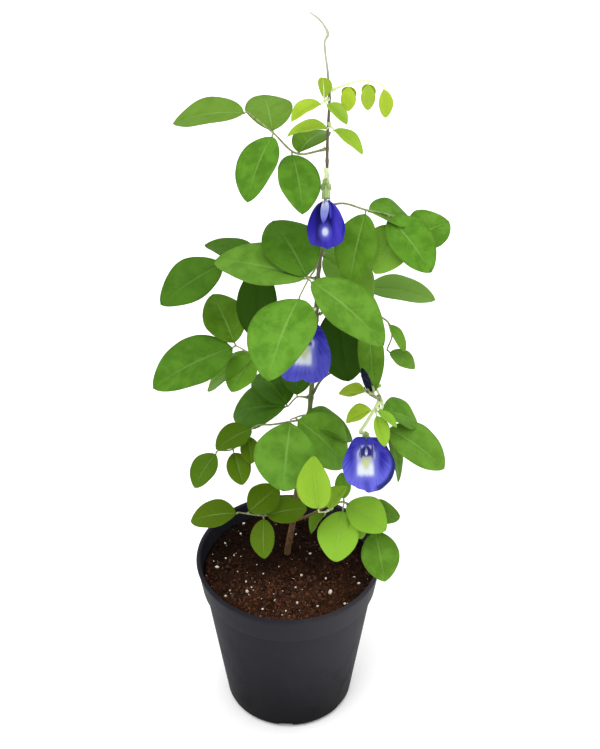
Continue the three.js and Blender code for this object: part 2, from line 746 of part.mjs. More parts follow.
// The soil from the pot's floor to its rough top, with a plain hole where the stem stands.
function soil() {
  const [, low, high] = INNER_WALL;
  const share = (SOIL_LEVEL - low[1]) / (high[1] - low[1]);
  const edge = low[0] + share * (high[0] - low[0]) - GAP;
  const foot = heelRound(HEEL - FLOOR);
  const rings = [
    [foot[0][0], () => FLOOR + GAP],
    [foot[HEEL_STEPS][0] - GAP, () => HEEL + GAP],
    ...INNER_WALL.slice(0, 2).map(([radius, z]) => [radius - GAP, () => z]),
  ];
  for (let i = SOIL_RINGS; i > 0; i -= 1) rings.push([(edge * i) / SOIL_RINGS, soilHeight]);
  const points = [];
  const triangles = [];
  rings.forEach(([radius, height], i) => {
    for (let k = 0; k < POT_SIDES; k += 1) {
      const turn = (2 * Math.PI * k) / POT_SIDES;
      const [x, y] = [radius * Math.cos(turn), radius * Math.sin(turn)];
      points.push(new THREE.Vector3(x, y, height(x, y)));
      if (i === 0) continue;
      const [a, b] = [(i - 1) * POT_SIDES + k, (i - 1) * POT_SIDES + ((k + 1) % POT_SIDES)];
      triangles.push([a, b, b + POT_SIDES], [a, b + POT_SIDES, a + POT_SIDES]);
    }
  });
  points.push(new THREE.Vector3(0, 0, FLOOR + GAP), new THREE.Vector3(0, 0, soilHeight(0, 0)));
  const [under, crown, last] = [points.length - 2, points.length - 1, (rings.length - 1) * POT_SIDES];
  for (let k = 0; k < POT_SIDES; k += 1) {
    const next = (k + 1) % POT_SIDES;
    triangles.push([under, next, k], [crown, last + k, last + next]);
  }
  const [stops, radii] = stemStops("main");
  stops[0].z -= GAP;
  return solid(points, triangles).subtract(bar(stops, radii.map((r) => r + GAP), STEM_SIDES));
}

show("pot", pot(), POT_BLACK);
show("soil", soil(), SOIL_BROWN);
show("stems", stems(), STEM_BROWN);
Object.keys(LEAVES).forEach((name) => show(name, leaf(name), name in YOUNG_FOLD ? YOUNG_GREEN : LEAF_GREEN));
Object.keys(FLOWERS).forEach(flower);
bud();

part.name = "potted_butterfly_pea";
export default part;
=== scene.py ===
import json
import math
import random

import bmesh
import bpy
from mathutils import Matrix, Vector

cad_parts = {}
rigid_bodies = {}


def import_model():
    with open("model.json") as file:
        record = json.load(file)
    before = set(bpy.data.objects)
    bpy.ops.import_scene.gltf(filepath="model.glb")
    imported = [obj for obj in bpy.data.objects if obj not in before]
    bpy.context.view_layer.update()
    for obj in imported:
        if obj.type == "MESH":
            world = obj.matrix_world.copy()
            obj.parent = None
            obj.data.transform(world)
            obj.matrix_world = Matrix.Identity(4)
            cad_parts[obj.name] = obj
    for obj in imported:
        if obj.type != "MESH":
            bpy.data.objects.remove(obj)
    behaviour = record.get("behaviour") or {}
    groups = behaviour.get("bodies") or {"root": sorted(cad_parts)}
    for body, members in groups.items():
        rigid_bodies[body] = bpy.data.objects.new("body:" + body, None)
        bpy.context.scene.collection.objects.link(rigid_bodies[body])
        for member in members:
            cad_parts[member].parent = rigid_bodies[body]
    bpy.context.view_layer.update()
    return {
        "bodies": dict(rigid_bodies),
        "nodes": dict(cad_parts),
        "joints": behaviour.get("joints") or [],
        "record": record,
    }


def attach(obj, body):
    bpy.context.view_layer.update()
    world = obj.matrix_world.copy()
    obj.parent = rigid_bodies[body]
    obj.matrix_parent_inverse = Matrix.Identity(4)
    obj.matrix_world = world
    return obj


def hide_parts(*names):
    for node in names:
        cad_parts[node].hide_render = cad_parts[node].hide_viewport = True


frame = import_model()

MM = 0.001

# The plan of the plant, in millimetres, the same as in the part's source

# Stems as [x, y, z, radius] points. A place on a stem is a number: 2.5 is halfway from point 2 to 3.
STEMS = {
    "main": [
        (-1, 16, 94, 2.2), (-1, 16, 117, 2.3), (3, 13, 150, 2.1), (6, 10, 184, 1.9), (10, 7, 219, 1.8),
        (14, 3, 254, 1.7), (15, 2, 270, 1.6), (17, 1, 304, 1.5), (18, 0, 334, 1.4), (19, 0, 366, 1.3),
        (21.5, 0, 396, 1.2), (23, 0, 420, 1.1), (24, 0, 440, 1), (24, 0, 460, 0.9), (24.5, 0, 478, 0.85),
        (25, 0, 494, 0.75), (24, 0, 510, 0.65), (22, 0, 531, 0.6), (23.7, -1, 536, 0.9),
        (21.5, 0, 541, 0.6), (18, 1, 545, 0.6), (13.5, 2, 548, 0.5),
    ],
    "right_shoot": [
        (15, 2, 270, 1), (24, 0, 289, 0.8), (38, 0, 296, 0.75), (50, -9, 297, 0.75),
        (57, -22, 295, 0.75), (60, -31, 293, 0.75),
    ],
    "front_shoot": [
        (3, 13, 150, 1.2), (15, 7, 161, 1.1), (24, -8, 182, 1), (29, -26, 201, 0.9), (29, -42, 212, 0.8),
    ],
}

# A leaf: the place that it grows from, its stalk's points, and its leaflets as place on the stalk,
# heading, pitch and roll in degrees, length and width, and the length of its own stalk if that is long.
LEAVES = {
    "leaf_bottom_left": (("main", 2.1), [(-5, 3, 166), (-17, -11, 177), (-33, -20, 188)], [
        (2, 12, 2, 22, 28, 21),
        (2, -88, -46, 20, 27, 18),
        (2.7, 42, 14, 25, 27, 22),
        (3, 174, -18, -12, 33, 24),
    ]),
    "leaf_lower_left": (("main", 4.9), [
        (-9, -4, 252), (-22, -14, 258), (-36, -21, 245), (-46, -25, 247),
    ], [
        (2, -150, -14, -6, 27, 21),
        (2.3, -80, -50, 0, 18, 13),
        (3, -68, -47, 0, 22, 17),
        (4, -133, -40, 0, 26, 20),
    ]),
    "leaf_lower_front": (("main", 5), [(9, -12, 266), (2, -28, 276)], [
        (2, -106, -68, -5, 47, 42),
        (1.6, -14, -46, 16, 46, 39),
        (1, 4, -34, 0, 38, 30),
    ]),
    "leaf_lower_back": (("main", 6), [(6, 6, 267), (0, 5, 260)], [
        (2, 158, -24, -22, 41, 38),
        (2, 118, 0, -5, 38, 30),
        (1, 92, 4, 0, 36, 24),
    ]),
    "leaf_mid_left": (("main", 8), [(0, 1, 322), (-20, -2, 309), (-33, -4, 317)], [
        (2, -137, -40, 0, 27, 25),
        (2, 172, -46, -10, 45, 24),
        (3, 116, 27, -12, 37, 28),
        (3, -160, -19, -14, 57, 38),
    ]),
    "leaf_upper_mid_left": (("main", 9), [(2, 7, 366), (-17, 12, 370), (-39, 9, 373)], [
        (2, 158, 6, 5, 36, 26),
        (2, -102, -78, 0, 52, 27),
        (3, -155, -24, -22, 46, 30),
    ]),
    "leaf_front": (("main", 10), [(17.5, -17, 387), (13, -34, 390), (8, -41, 383)], [
        (2, 162, 0, -12, 58, 35),
        (2, -28, -32, 8, 58, 37),
        (2, 118, 18, -8, 46, 36),
        (3, -110, -24, 8, 58, 43),
    ]),
    "leaf_right": (("main", 9.3), [(21, 6, 381), (36, 13, 368), (48, 13, 351)], [
        (1, -26, -38, 12, 42, 34),
        (2, 110, -8, 0, 40, 26),
        (3, -8, -7, 6, 44, 25),
    ]),
    "leaf_upper_right": (("main", 11), [
        (34, 0, 422), (48, 2, 416), (61, 3, 412), (69, 6, 404), (73, 5, 390),
    ], [
        (2, -112, -56, 0, 44, 27),
        (2, 22, -31, 8, 37, 28),
        (3, -40, -38, 14, 42, 30),
        (4, -120, -32, -22, 34, 28),
        (5, 26, 12, 20, 29, 30),
    ]),
    "leaf_shaded_right": (("main", 8.1), [
        (31, 4, 344), (50, -5, 345), (63, -8, 339), (66, -9, 329), (63, -11, 319),
    ], [
        (1, -58, -74, 32, 52, 34),
        (2, -75, -70, 10, 52, 17),
        (3, -36, -52, 0, 20, 10),
        (5, -25, -24, 8, 19, 14),
    ]),
    "leaf_upper_left": (("main", 13), [(6, 0, 457), (-8, 7, 467), (-23, 14, 477)], [
        (1.2, -80, -30, -12, 40, 27),
        (1, 62, -6, -6, 35, 22),
        (2, 99, 6, 0, 36, 29),
        (2, -115, -38, 12, 43, 28),
        (3, 168, -16, -10, 46, 27),
    ]),
    "leaf_tip_left": (("main", 14), [(26, -5, 478)], [
        (1, 180, -14, 6, 24, 17),
        (1, -24, -34, 0, 22, 13),
    ]),
    "leaf_tip_cluster": (("main", 15), [(22, -5, 495)], [
        (1, -104, 76, 0, 16, 10),
        (1, -165, -28, -10, 20, 14),
        (1, -42, -26, 10, 17, 11),
    ]),
    "leaf_tip_right": (("main", 15.3), [(31, -2, 503), (38, -4, 507), (47, -6, 509), (56, -8, 507)], [
        (1.7, -90, -74, 0, 14, 9),
        (1.7, 80, -80, 0, 12, 9),
        (3, -90, -76, 0, 15, 8.5),
        (3, 80, -80, 0, 13, 8.5),
        (4, -70, -78, 0, 17, 9),
    ]),
    "leaf_shoot_young": (("right_shoot", 5), [(60, -36, 292), (55, -39, 294)], [
        (2, -172, -28, 0, 18, 16),
        (2, -34, -26, 0, 16, 8),
        (2, -66, -50, 0, 20, 11, 5),
    ]),
    "leaf_shoot_right": (("right_shoot", 4.6), [(59, -24, 281), (63, -29, 271)], [
        (1, 12, -32, 6, 28, 29),
        (2, -30, -76, 0, 42, 13),
        (2, -26, -26, 12, 44, 30),
    ]),
    "leaf_shoot_small": (("right_shoot", 3), [(52, -13, 287)], [
        (1, 165, -16, 0, 18, 15),
        (1, 70, -20, 0, 15, 11),
    ]),
    "leaf_front_right": (("front_shoot", 3.1), [(37, -34, 210), (50, -34, 200), (58, -32, 185)], [
        (1, 95, 34, 0, 18, 11),
        (1, -25, -24, 14, 31, 28),
        (1, -104, -52, 0, 34, 28, 6),
        (1.3, -58, -50, 0, 22, 16),
        (2, 12, -16, 10, 24, 21),
        (3, -74, -48, 10, 34, 26),
    ]),
    "leaf_front_young": (("front_shoot", 4), [(25, -52, 218), (20, -58, 223)], [
        (2, 104, 70, -25, 37, 26),
        (1, 30, 42, 0, 19, 16),
        (1, -162, -58, 0, 17, 13),
    ]),
}

# How each leaflet looks: its age, from -1 for old and olive over 0 to 1 for young and yellow-green, and
# how much lighter or darker it is painted: below 0 painted shade where it lies in shadow, above 0 painted
# light.
LEAF_LOOKS = {
    "leaf_bottom_left": [(-0.8, 0.05), (-0.9, 0.1), (-0.8, -0.1), (-0.9, -0.2)],
    "leaf_lower_left": [(-0.7, -0.3), (-0.8, -0.1), (-0.75, -0.15), (-0.6, -0.35)],
    "leaf_lower_front": [(-0.1, 0.15), (0.1, 0.1), (-0.25, -0.3)],
    "leaf_lower_back": [(0, -0.45), (0, -0.55), (0, -0.66)],
    "leaf_mid_left": [(0.15, -0.1), (0.2, -0.18), (-0.45, 0.05), (0, -0.3)],
    "leaf_upper_mid_left": [(0.1, -0.6), (0, -1), (0, -0.5)],
    "leaf_front": [(-0.25, 0.2), (-0.15, 0.15), (0, -0.4), (0, 0.1)],
    "leaf_right": [(0.25, 0.3), (0, -0.2), (0.32, 0.5)],
    "leaf_upper_right": [(-0.3, -0.12), (-0.1, -0.16), (-0.05, -0.05), (0.25, 0.2), (-0.2, 0.05)],
    "leaf_shaded_right": [(0, -1), (-0.35, 0.08), (0.2, -0.2), (-0.4, 0.25)],
    "leaf_upper_left": [(0, -0.2), (-0.5, 0), (-0.6, 0.25), (0, -0.2), (-0.65, 0.25)],
    "leaf_tip_left": [(0.72, 0.02), (0.74, 0.1)],
    "leaf_tip_cluster": [(0.9, 0.3), (0.84, 0.1), (0.78, 0.3)],
    "leaf_tip_right": [(0.95, 0.1), (0.9, -0.2), (0.95, 0.22), (0.9, -0.2), (0.95, 0.12)],
    "leaf_shoot_young": [(0.8, 0.02), (0.5, 0), (0.64, 0.05)],
    "leaf_shoot_right": [(0.05, -0.12), (-0.4, -0.1), (-0.3, 0.2)],
    "leaf_shoot_small": [(0.85, 0), (0.85, 0)],
    "leaf_front_right": [(0.2, 0), (0.5, 0), (0.55, 0.05), (0.3, -0.1), (-0.45, -0.18), (-0.3, 0.12)],
    "leaf_front_young": [(0.64, -0.03), (0.65, 0.05), (-0.85, -0.3)],
}
YOUNG_FOLD = {"leaf_tip_cluster": 32, "leaf_tip_left": 18, "leaf_front_young": 28, "leaf_shoot_young": 16}
MATURE_FOLD = 9
YOUNG_LEAF_AGE = 0.8  # above it, a leaf has the finish of young leaves
GAP = 0.4
STALK_RADIUS = 0.75
LEAFLET_STALK = 2.4
PHASE_STEP = 2.4
BASE_FULLNESS = 0.9
BLUNTNESS = 0.66
BOW = 0.07
WAVE = 0.05
WAVE_TURN = 9
SIDE_VEINS = 7  # pairs to a leaflet
VEIN_SLANT = (0.2, 0.09)  # how far a side vein runs forward on its way out, and how much it bends
BLADE_THICKNESS = 0.35
BLADE_END = 0.12  # least half width of a blade
EDGE_THINNING = 0.6
LANE_CROWDING = 1.4  # over 1, the lanes crowd towards the midrib
GROOVE = {"width": 1.6, "depth": 0.35}  # along the midrib
QUILT = 0.12  # rise of the blade between its side veins
SWAY = 0.06  # how far a blade bends up and down, as a share of its width
MIDRIB = {"foot": 0.5, "girth": 0.45, "thinning": 0.36, "sunk": 0.3}
MIDRIB_STEPS = 12
STIPULE = {"along": 2.2, "aside": 1.1, "out": 0.9, "sunk": 0.5, "bend": 0.2, "girths": (0.4, 0.3, 0.05)}
STALK_STEPS = 8
STEM_STEPS = 10
SWELL = {"reach": 2.2, "spread": 1.6, "rise": 0.3}  # where a stalk or stem carries another
BLADE_STATIONS = 35
BLADE_LANES = 17
STALK_SIDES = 8
STEM_SIDES = 14

# A flower: the place that it grows from, its stalk, the banner's heading, pitch, roll, length and
# width, its outline, the calyx's lean out of the banner's plane, how far the banner's sides curl and
# how much wider its right half is.
FLOWERS = {
    "flower_top": (("main", 12.6), [(23.6, -3.2, 447), (23.4, -3.2, 441.2)],
                   (-90, -62, 0, 27, 28), "furled", 17, 0.35, 0),
    "flower_middle": (("main", 8.3), [(15, -4.5, 346), (12.1, -4.7, 340)],
                      (-94, -54, 0, 29, 35), "spread", 34, 0.15, 0),
    "flower_open": (("right_shoot", 4.75),
                    [(55.5, -31.2, 287.2), (49.5, -31.8, 274.5), (46.6, -32, 268.4), (50.2, -30.7, 266.9)],
                    (-90, -50, 0, 26, 34.2), "open", 30, 0.1, 0.1),
}
BANNER_OUTLINES = {
    "spread": [(0.1, -0.27), (0.5, -0.24), (0.86, 0.14), (1, 0.5), (0.84, 0.84), (0.4, 1.02), (0, 0.93)],
    "open": [(0.1, -0.35), (0.47, -0.35), (0.76, -0.08), (1, 0.3), (0.87, 0.66), (0.45, 0.92), (0, 0.97)],
    "furled": [(0.12, -0.05), (0.36, 0.04), (0.74, 0.27), (1, 0.56), (0.82, 0.84), (0.44, 0.98), (0, 1.02)],
}
# How the petal finish knows each banner and wing.
BANNER_PART = {"spread": -1, "open": 0, "furled": 3}
WING_PART = {"open": 1, "furled_left": 2, "furled_right": 2.5}
BANNER_FUNNEL = 1.5
BANNER_HEART = 0.06  # share of the reach where the banner starts
BANNER_RAYS = 96
BANNER_RINGS = 30
PETAL_HALF_THICKNESS = 0.17
RUFFLE = {"rise": 0.9, "turn": 11, "fine_turn": 27, "finest_turn": 53}
FRILL = ((0.018, 19, 1), (0.01, 41, 0))  # share of the reach, turn and phase of the rim's waves
LOBE = {"droop": 9, "shift": 26}  # of a banner whose halves differ in width
FURLED_WINGS = {-1: ("furled_left", 15, 5), 1: ("furled_right", 12, 3.2)}  # part, length and width
OPEN_WING = {"length": 10, "width": 4.6, "apart": 3.6, "back": 5.2, "splay": 22, "lean": 68}
FURLED_WING = {"apart": 1, "shift": 0.6, "back": 2, "splay": 12, "lean": 12, "turn": 6}
WING_RISE = 1.2
FROND_LANES = 5  # on each side of its middle
FROND_STEPS = 14
FROND_HALF_THICKNESS = 0.16
KEEL_STEPS = 12
KEEL_SIDES = 16
CALYX_STEPS = 14
CALYX_SIDES = 30
CALYX_RIBS = 10
RIB_HEIGHT = 0.05  # as a share of the radius
LOBES = 5
BRACT = {"splay": 26, "inset": 0.9, "length": 5, "width": 4.4}
BUD_STEPS = 40
BUD_SIDES = 48
BUD_FOLD = {"turn": 0.6, "rise": 0.16, "sink": 0.1}
BUD_LOBE = {"foot": 0.45, "inset": 2.3, "splay": 8, "length": 5, "width": 2.8}
BUD_CUP_SHARE = 0.6
KEEL = {"length": 8, "back": 0.3, "rise": 1.8, "arch": 3, "arch_turn": 1.6, "slim": 0.72, "flat": 0.12}
KEEL_SHAPE = [(0, 0.5), (0.35, 1.2), (0.7, 1.3), (1, 0.4)]
PEDICEL_RADIUS = 1.2
PEDICEL_SIDES = 10
CALYX = {
    "length": 14, "set_back": 2.2, "lobe_foot": 0.24, "lobe_inset": 2.4, "lobe_splay": 14, "lobe_turn": 54,
    "slim": 0.86, "lobe_sunk": 0.4, "lobe_length": 4, "lobe_width": 3,
}
CALYX_SHAPE = [(0, 1.3), (0.25, 2.4), (0.6, 2.7), (1, 3)]
BUD = {
    "on": ("right_shoot", 4.4), "stalk": [(57.5, -32, 296.5), (53.5, -34, 300.5)],
    "heading": 165, "pitch": 70, "length": 20, "sunk": 1.5, "calyx": 6.5,
}
BUD_SHAPE = [(0, 1.3), (0.2, 2), (0.45, 2.7), (0.7, 2.4), (0.9, 1.5), (1, 0.5)]
BUD_CUP_SHAPE = [(0, 1.2), (0.17, 1.9), (0.6, 2.9), (1, 3.4)]

# The pot and its soil.
POT_HEIGHT = 129
RIM_RADIUS = 65
LIP_DEPTH = 23
LIP_FOOT_RADIUS = 61.4
BODY_TOP_RADIUS = 59.4
BASE_RADIUS = 45.5
HEEL = 5.5
WALL = 1.8
RIM_WIDTH = 3.2
RIM_FOOT = 6  # where the lip's slope turns into the rim, below the top
LIP_ROUND = 0.8  # radius of the round at the lip's foot
LIP_HOLLOW = 0.9  # radius of the hollow above the body
FLOOR = 2.4
DRAIN_HOLES = 6
DRAIN_RADIUS = 4.5
DRAIN_CIRCLE = 27
DRILL = {"low": -5, "high": 8, "sides": 32}
NOTCH = {"width": 11, "height": 4.5, "depth": 8, "turn": 27, "round": 2}
MIDDLE = 12  # radius of the flat middle of the floor and of the underside
SOIL_LEVEL = 115
SOIL_MOUND = 2
POT_SIDES = 144
SOIL_SIDES = 132
SOIL_STEPS = 44
SHARP_EDGE = 50  # degrees
CLODS = {"fineness": 75.0, "rise": 0.011}
GRIT = {"fineness": 420.0, "rise": 0.0024}

# Large perlite grains that the photo shows, as [x, y] and a radius in millimetres.
LARGE_GRAINS = [
    (-51, 1, 1.9), (29, -25, 2.1), (-33, 47, 1.3), (-35, 37, 1), (-46, 27, 1.2), (-19, 21, 1), (-14, 20, 1),
    (-39, 14, 1.1), (-45, 13, 1.1), (-30, -12, 1.1), (-26, -18, 1.4), (-29, -23, 1.6), (-44, -26, 1.3),
    (-41, -20, 1), (26, -9, 1), (-18, -5, 0.9), (-7, 2, 0.9), (3, -10, 1), (9, -7, 1.3), (5, -19, 1),
    (-9, -31, 1.4), (6, -34, 1.2), (49, -14, 1.3), (46, -8, 1.1), (31, 9, 0.9), (15, 14, 0.9), (5, 35, 0.9),
    (20, -36, 1.2), (39, -34, 1.1), (-18, -40, 1.2), (-2, -42, 1), (-36, -3, 0.9), (22, 38, 1.2),
    (40, 24, 1),
]
# What is strewn, as pieces to a square metre, seed, and least and greatest half sizes in metres.
STREWN = {
    "soil_crumbs": (170000.0, 11, (0.0006, 0.0006, 0.0004), (0.002, 0.0018, 0.0009)),
    "soil_chips": (9000.0, 23, (0.0009, 0.0004, 0.0002), (0.0034, 0.0009, 0.0004)),
    "soil_perlite": (7000.0, 37, (0.0003, 0.0003, 0.0003), (0.0008, 0.0007, 0.0006)),
    "stem_hairs": (90000.0, 5, (0.00003, 0.00003, 0.0004), (0.00005, 0.00005, 0.0011)),
    "calyx_hairs": (900000.0, 5, (0.00003, 0.00003, 0.0004), (0.00005, 0.00005, 0.0011)),
}
HAIR_LEAN = 0.5  # radians
AROUND = 6.28

# The camera that fits the photo, in metres, degrees and millimetres, and the lights.
CAMERA_SPOT = (0.0079, -0.9407, 1.0266)
CAMERA_DIP = 38.04
CAMERA_LENS = 88.49
CAMERA_SENSOR = 36
FLOOR_REACH = 4
LIGHTS = {
    "key": {"from": (-0.5, -0.75, 1.5), "power": 1.1, "spread": 40},
    "top": {"from": (0.35, 0.15, 1.6), "power": 1.0, "spread": 60},
}


# Curves and directions

def metres(points):
    """Vectors in metres of [x, y, z] in millimetres."""
    return [Vector(p[:3]) * MM for p in points]


def curve_point(points, place):
    """The point at a place on the centripetal curve through points."""
    last = len(points) - 1
    low = min(int(place), last - 1)
    share = place - low
    before = points[low - 1] if low > 0 else 2 * points[0] - points[1]
    after = points[low + 2] if low + 2 <= last else 2 * points[last] - points[last - 1]
    p0, p1, p2, p3 = before, points[low], points[low + 1], after
    d0, d1, d2 = (math.sqrt((a - b).length) for a, b in ((p0, p1), (p1, p2), (p2, p3)))
    leave = ((p1 - p0) / d0 - (p2 - p0) / (d0 + d1) + (p2 - p1) / d1) * d1
    arrive = ((p2 - p1) / d1 - (p3 - p1) / (d1 + d2) + (p3 - p2) / d2) * d1
    cubic = 2 * p1 - 2 * p2 + leave + arrive
    square = -3 * p1 + 3 * p2 - 2 * leave - arrive
    return ((cubic * share + square) * share + leave) * share + p1


def outline_point(points, share):
    """The [across, along] at a share of the smooth outline through points."""
    last = len(points) - 1
    place = last * share
    low = min(int(place), last)
    weight = place - low
    picked = [points[min(max(low + step, 0), last)] for step in (-1, 0, 1, 2)]
    return [blend_four(weight, *values) for values in zip(*picked)]


def blend_four(weight, a, b, c, d):
    """A smooth value between b and c, led by a and d."""
    leave, arrive = (c - a) / 2, (d - b) / 2
    cubic = 2 * b - 2 * c + leave + arrive
    square = -3 * b + 3 * c - 2 * leave - arrive
    return ((cubic * weight + square) * weight + leave) * weight + b


def shape_at(shape, share):
    """The value at a share of a table of [share, value], eased between its rows."""
    for (low, start), (high, end) in zip(shape, shape[1:]):
        if share <= high:
            step = (share - low) / (high - low)
            return start + (end - start) * step * step * (3 - 2 * step)
    return shape[-1][1]


def frame_of(heading, pitch, roll):
    """Forward along a heading and pitch, side to its left and up out of its face, from degrees."""
    h, p, r = (math.radians(angle) for angle in (heading, pitch, roll))
    forward = Vector((math.cos(h) * math.cos(p), math.sin(h) * math.cos(p), math.sin(p)))
    side = Matrix.Rotation(r, 3, forward) @ Vector((-math.sin(h), math.cos(h), 0))
    return forward, side, forward.cross(side)


def turned(direction, axis, degrees):
    """A direction turned about an axis."""
    return Matrix.Rotation(math.radians(degrees), 3, axis) @ direction


def stem_at(name, place):
    """The point, the direction and the radius at a place on a stem."""
    rows = STEMS[name]
    points = metres(rows)
    last = len(points) - 1
    low = min(int(place), last - 1)
    radius = rows[low][3] + (rows[low + 1][3] - rows[low][3]) * (place - low)
    ahead, behind = min(place + 0.002, last), max(place - 0.002, 0)
    tangent = (curve_point(points, ahead) - curve_point(points, behind)).normalized()
    return curve_point(points, place), tangent, radius * MM


def stalk_path(on, stalk, stalk_radius):
    """The points of a stalk, from just off the stem that it grows from."""
    points = metres(stalk)
    name, place = on
    foot, tangent, radius = stem_at(name, place)
    way = (points[0] - foot).normalized()
    along = abs(way.dot(tangent))
    across = math.sqrt(1 - along * along)
    off = (radius + (GAP + stalk_radius * along) * MM) / across
    if place == len(STEMS[name]) - 1:
        off = min(off, (GAP + stalk_radius * across) * MM / along)
    return [foot + way * off, *points]


def stations(points, per_step):
    """Points along the smooth curve through points."""
    count = (len(points) - 1) * per_step
    return [curve_point(points, i / per_step) for i in range(count + 1)]


# Node trees

class Value:
    """What a node gives, for sums that are written as in Python."""

    def __init__(self, tree, socket):
        self.tree = tree
        self.socket = socket
        self.wide = socket.type == "VECTOR"

    def __add__(self, other):
        return self.tree.reckon("ADD", self, other)

    def __radd__(self, other):
        return self.tree.reckon("ADD", other, self)

    def __sub__(self, other):
        return self.tree.reckon("SUBTRACT", self, other)

    def __rsub__(self, other):
        return self.tree.reckon("SUBTRACT", other, self)

    def __mul__(self, other):
        return self.tree.reckon("MULTIPLY", self, other)

    def __rmul__(self, other):
        return self.tree.reckon("MULTIPLY", other, self)

    def __truediv__(self, other):
        return self.tree.reckon("DIVIDE", self, other)

    def __pow__(self, other):
        return self.tree.reckon("POWER", self, other)

    def __gt__(self, other):
        return self.tree.reckon("GREATER_THAN", self, other)

    def __abs__(self):
        return self.tree.reckon("ABSOLUTE", self)


def is_wide(value):
    """True for a vector, whether a node gives it or it is fixed."""
    return value.wide if isinstance(value, Value) else isinstance(value, (tuple, Vector))


def pick(sockets, key):
    """The socket of a name or number among those that the node's settings leave in use."""
    if isinstance(key, int):
        return sockets[key]
    return next(s for s in sockets if s.enabled and key in (None, s.name, s.identifier))


class Tree:
    """The nodes of a material or of a modifier."""

    def __init__(self, tree):
        self.tree = tree

    def node(self, kind, settings=None, sockets=None, output=None):
        """One node, from its settings and what its sockets take. Gives one of its outputs."""
        made = self.tree.nodes.new(kind)
        for name, setting in (settings or {}).items():
            setattr(made, name, setting)
        for key, value in (sockets or {}).items():
            socket = pick(made.inputs, key)
            for one in value if isinstance(value, list) else [value]:
                if isinstance(one, Value):
                    self.tree.links.new(one.socket, socket)
                else:
                    socket.default_value = one
        return Value(self, pick(made.outputs, output)) if len(made.outputs) else None

    def reckon(self, operation, *values):
        """One step of arithmetic, on numbers or vectors."""
        sockets = dict(enumerate(values))
        wide = [is_wide(value) for value in values]
        if not any(wide):
            return self.node("ShaderNodeMath", {"operation": operation}, sockets)
        if operation == "MULTIPLY" and not all(wide):
            vector, number = values if wide[0] else reversed(values)
            sockets = {0: vector, "Scale": number}
            return self.node("ShaderNodeVectorMath", {"operation": "SCALE"}, sockets)
        return self.node("ShaderNodeVectorMath", {"operation": operation}, sockets)

    def split(self, vector):
        """The three numbers of a vector."""
        made = self.tree.nodes.new("ShaderNodeSeparateXYZ")
        self.tree.links.new(vector.socket, made.inputs[0])
        return [Value(self, output) for output in made.outputs]

    def combine(self, x, y, z):
        return self.node("ShaderNodeCombineXYZ", None, {"X": x, "Y": y, "Z": z})

    def ease(self, value, low, high, start=0.0, end=1.0):
        """A smooth step from start to end while value goes from low to high."""
        sockets = {"Value": value, "From Min": low, "From Max": high, "To Min": start, "To Max": end}
        return self.node("ShaderNodeMapRange", {"interpolation_type": "SMOOTHSTEP"}, sockets, "Result")

    def blend(self, share, first, second):
        """A colour between two."""
        sockets = {"Factor": share, "A": first, "B": second}
        return self.node("ShaderNodeMix", {"data_type": "RGBA"}, sockets, "Result_Color")

    def noise(self, vector, scale, detail=2.0, roughness=0.5, output="Fac"):
        sockets = {"Vector": vector, "Scale": scale, "Detail": detail, "Roughness": roughness}
        return self.node("ShaderNodeTexNoise", None, sockets, output)

    def flecks(self, vector, scale, output="Distance"):
        return self.node("ShaderNodeTexVoronoi", None, {"Vector": vector, "Scale": scale}, output)

    def coordinates(self):
        return self.node("ShaderNodeTexCoord", None, None, "Object")

    def attribute(self, name):
        """A vector kept at each point of the piece, for a material."""
        return self.node("ShaderNodeAttribute", {"attribute_name": name}, None, "Vector")

    def bump(self, height, strength, distance):
        sockets = {"Height": height, "Strength": strength, "Distance": distance}
        return self.node("ShaderNodeBump", None, sockets)

    def coat(self, **sockets):
        """The main shader. A socket's name is written with _ for each space."""
        named = {key.replace("_", " "): value for key, value in sockets.items()}
        return self.node("ShaderNodeBsdfPrincipled", None, named)

    def close(self, surface):
        self.node("ShaderNodeOutputMaterial", None, {"Surface": surface})

    def kept(self, name, kind="FLOAT_VECTOR"):
        """Numbers kept at each point, for a modifier."""
        settings = {"data_type": kind}
        return self.node("GeometryNodeInputNamedAttribute", settings, {"Name": name}, "Attribute")

    def keep(self, geometry, name, value, kind="FLOAT_VECTOR"):
        """The geometry with a value kept at each point."""
        sockets = {"Geometry": geometry, "Name": name, "Value": value}
        return self.node("GeometryNodeStoreNamedAttribute", {"data_type": kind}, sockets)

    def place(self):
        return self.node("GeometryNodeInputPosition")

    def chance(self, low, high, seed):
        """A random number for each point, or a random vector."""
        settings = {"data_type": "FLOAT_VECTOR" if is_wide(low) else "FLOAT"}
        return self.node("FunctionNodeRandomValue", settings, {"Min": low, "Max": high, "Seed": seed})


def colour(red, green, blue):
    """A linear colour from screen values of 0 to 255."""
    parts = [c / 255 for c in (red, green, blue)]
    return (*(c / 12.92 if c <= 0.04045 else ((c + 0.055) / 1.055) ** 2.4 for c in parts), 1.0)


def material(name):
    """A new material and its empty tree."""
    made = bpy.data.materials.new(name)
    made.use_nodes = True
    made.node_tree.nodes.clear()
    return made, Tree(made.node_tree)


def geometry_tree(name, inputs):
    """A new geometry tree, with what its named inputs give."""
    made = bpy.data.node_groups.new(name, "GeometryNodeTree")
    made.interface.new_socket("Geometry", in_out="OUTPUT", socket_type="NodeSocketGeometry")
    made.interface.new_socket("Geometry", in_out="INPUT", socket_type="NodeSocketGeometry")
    for label, kind in inputs.items():
        made.interface.new_socket(label, in_out="INPUT", socket_type=f"NodeSocket{kind}")
    tree = Tree(made)
    entry = made.nodes.new("NodeGroupInput")
    given = {socket.name: Value(tree, socket) for socket in entry.outputs if socket.name}
    return made, tree, given


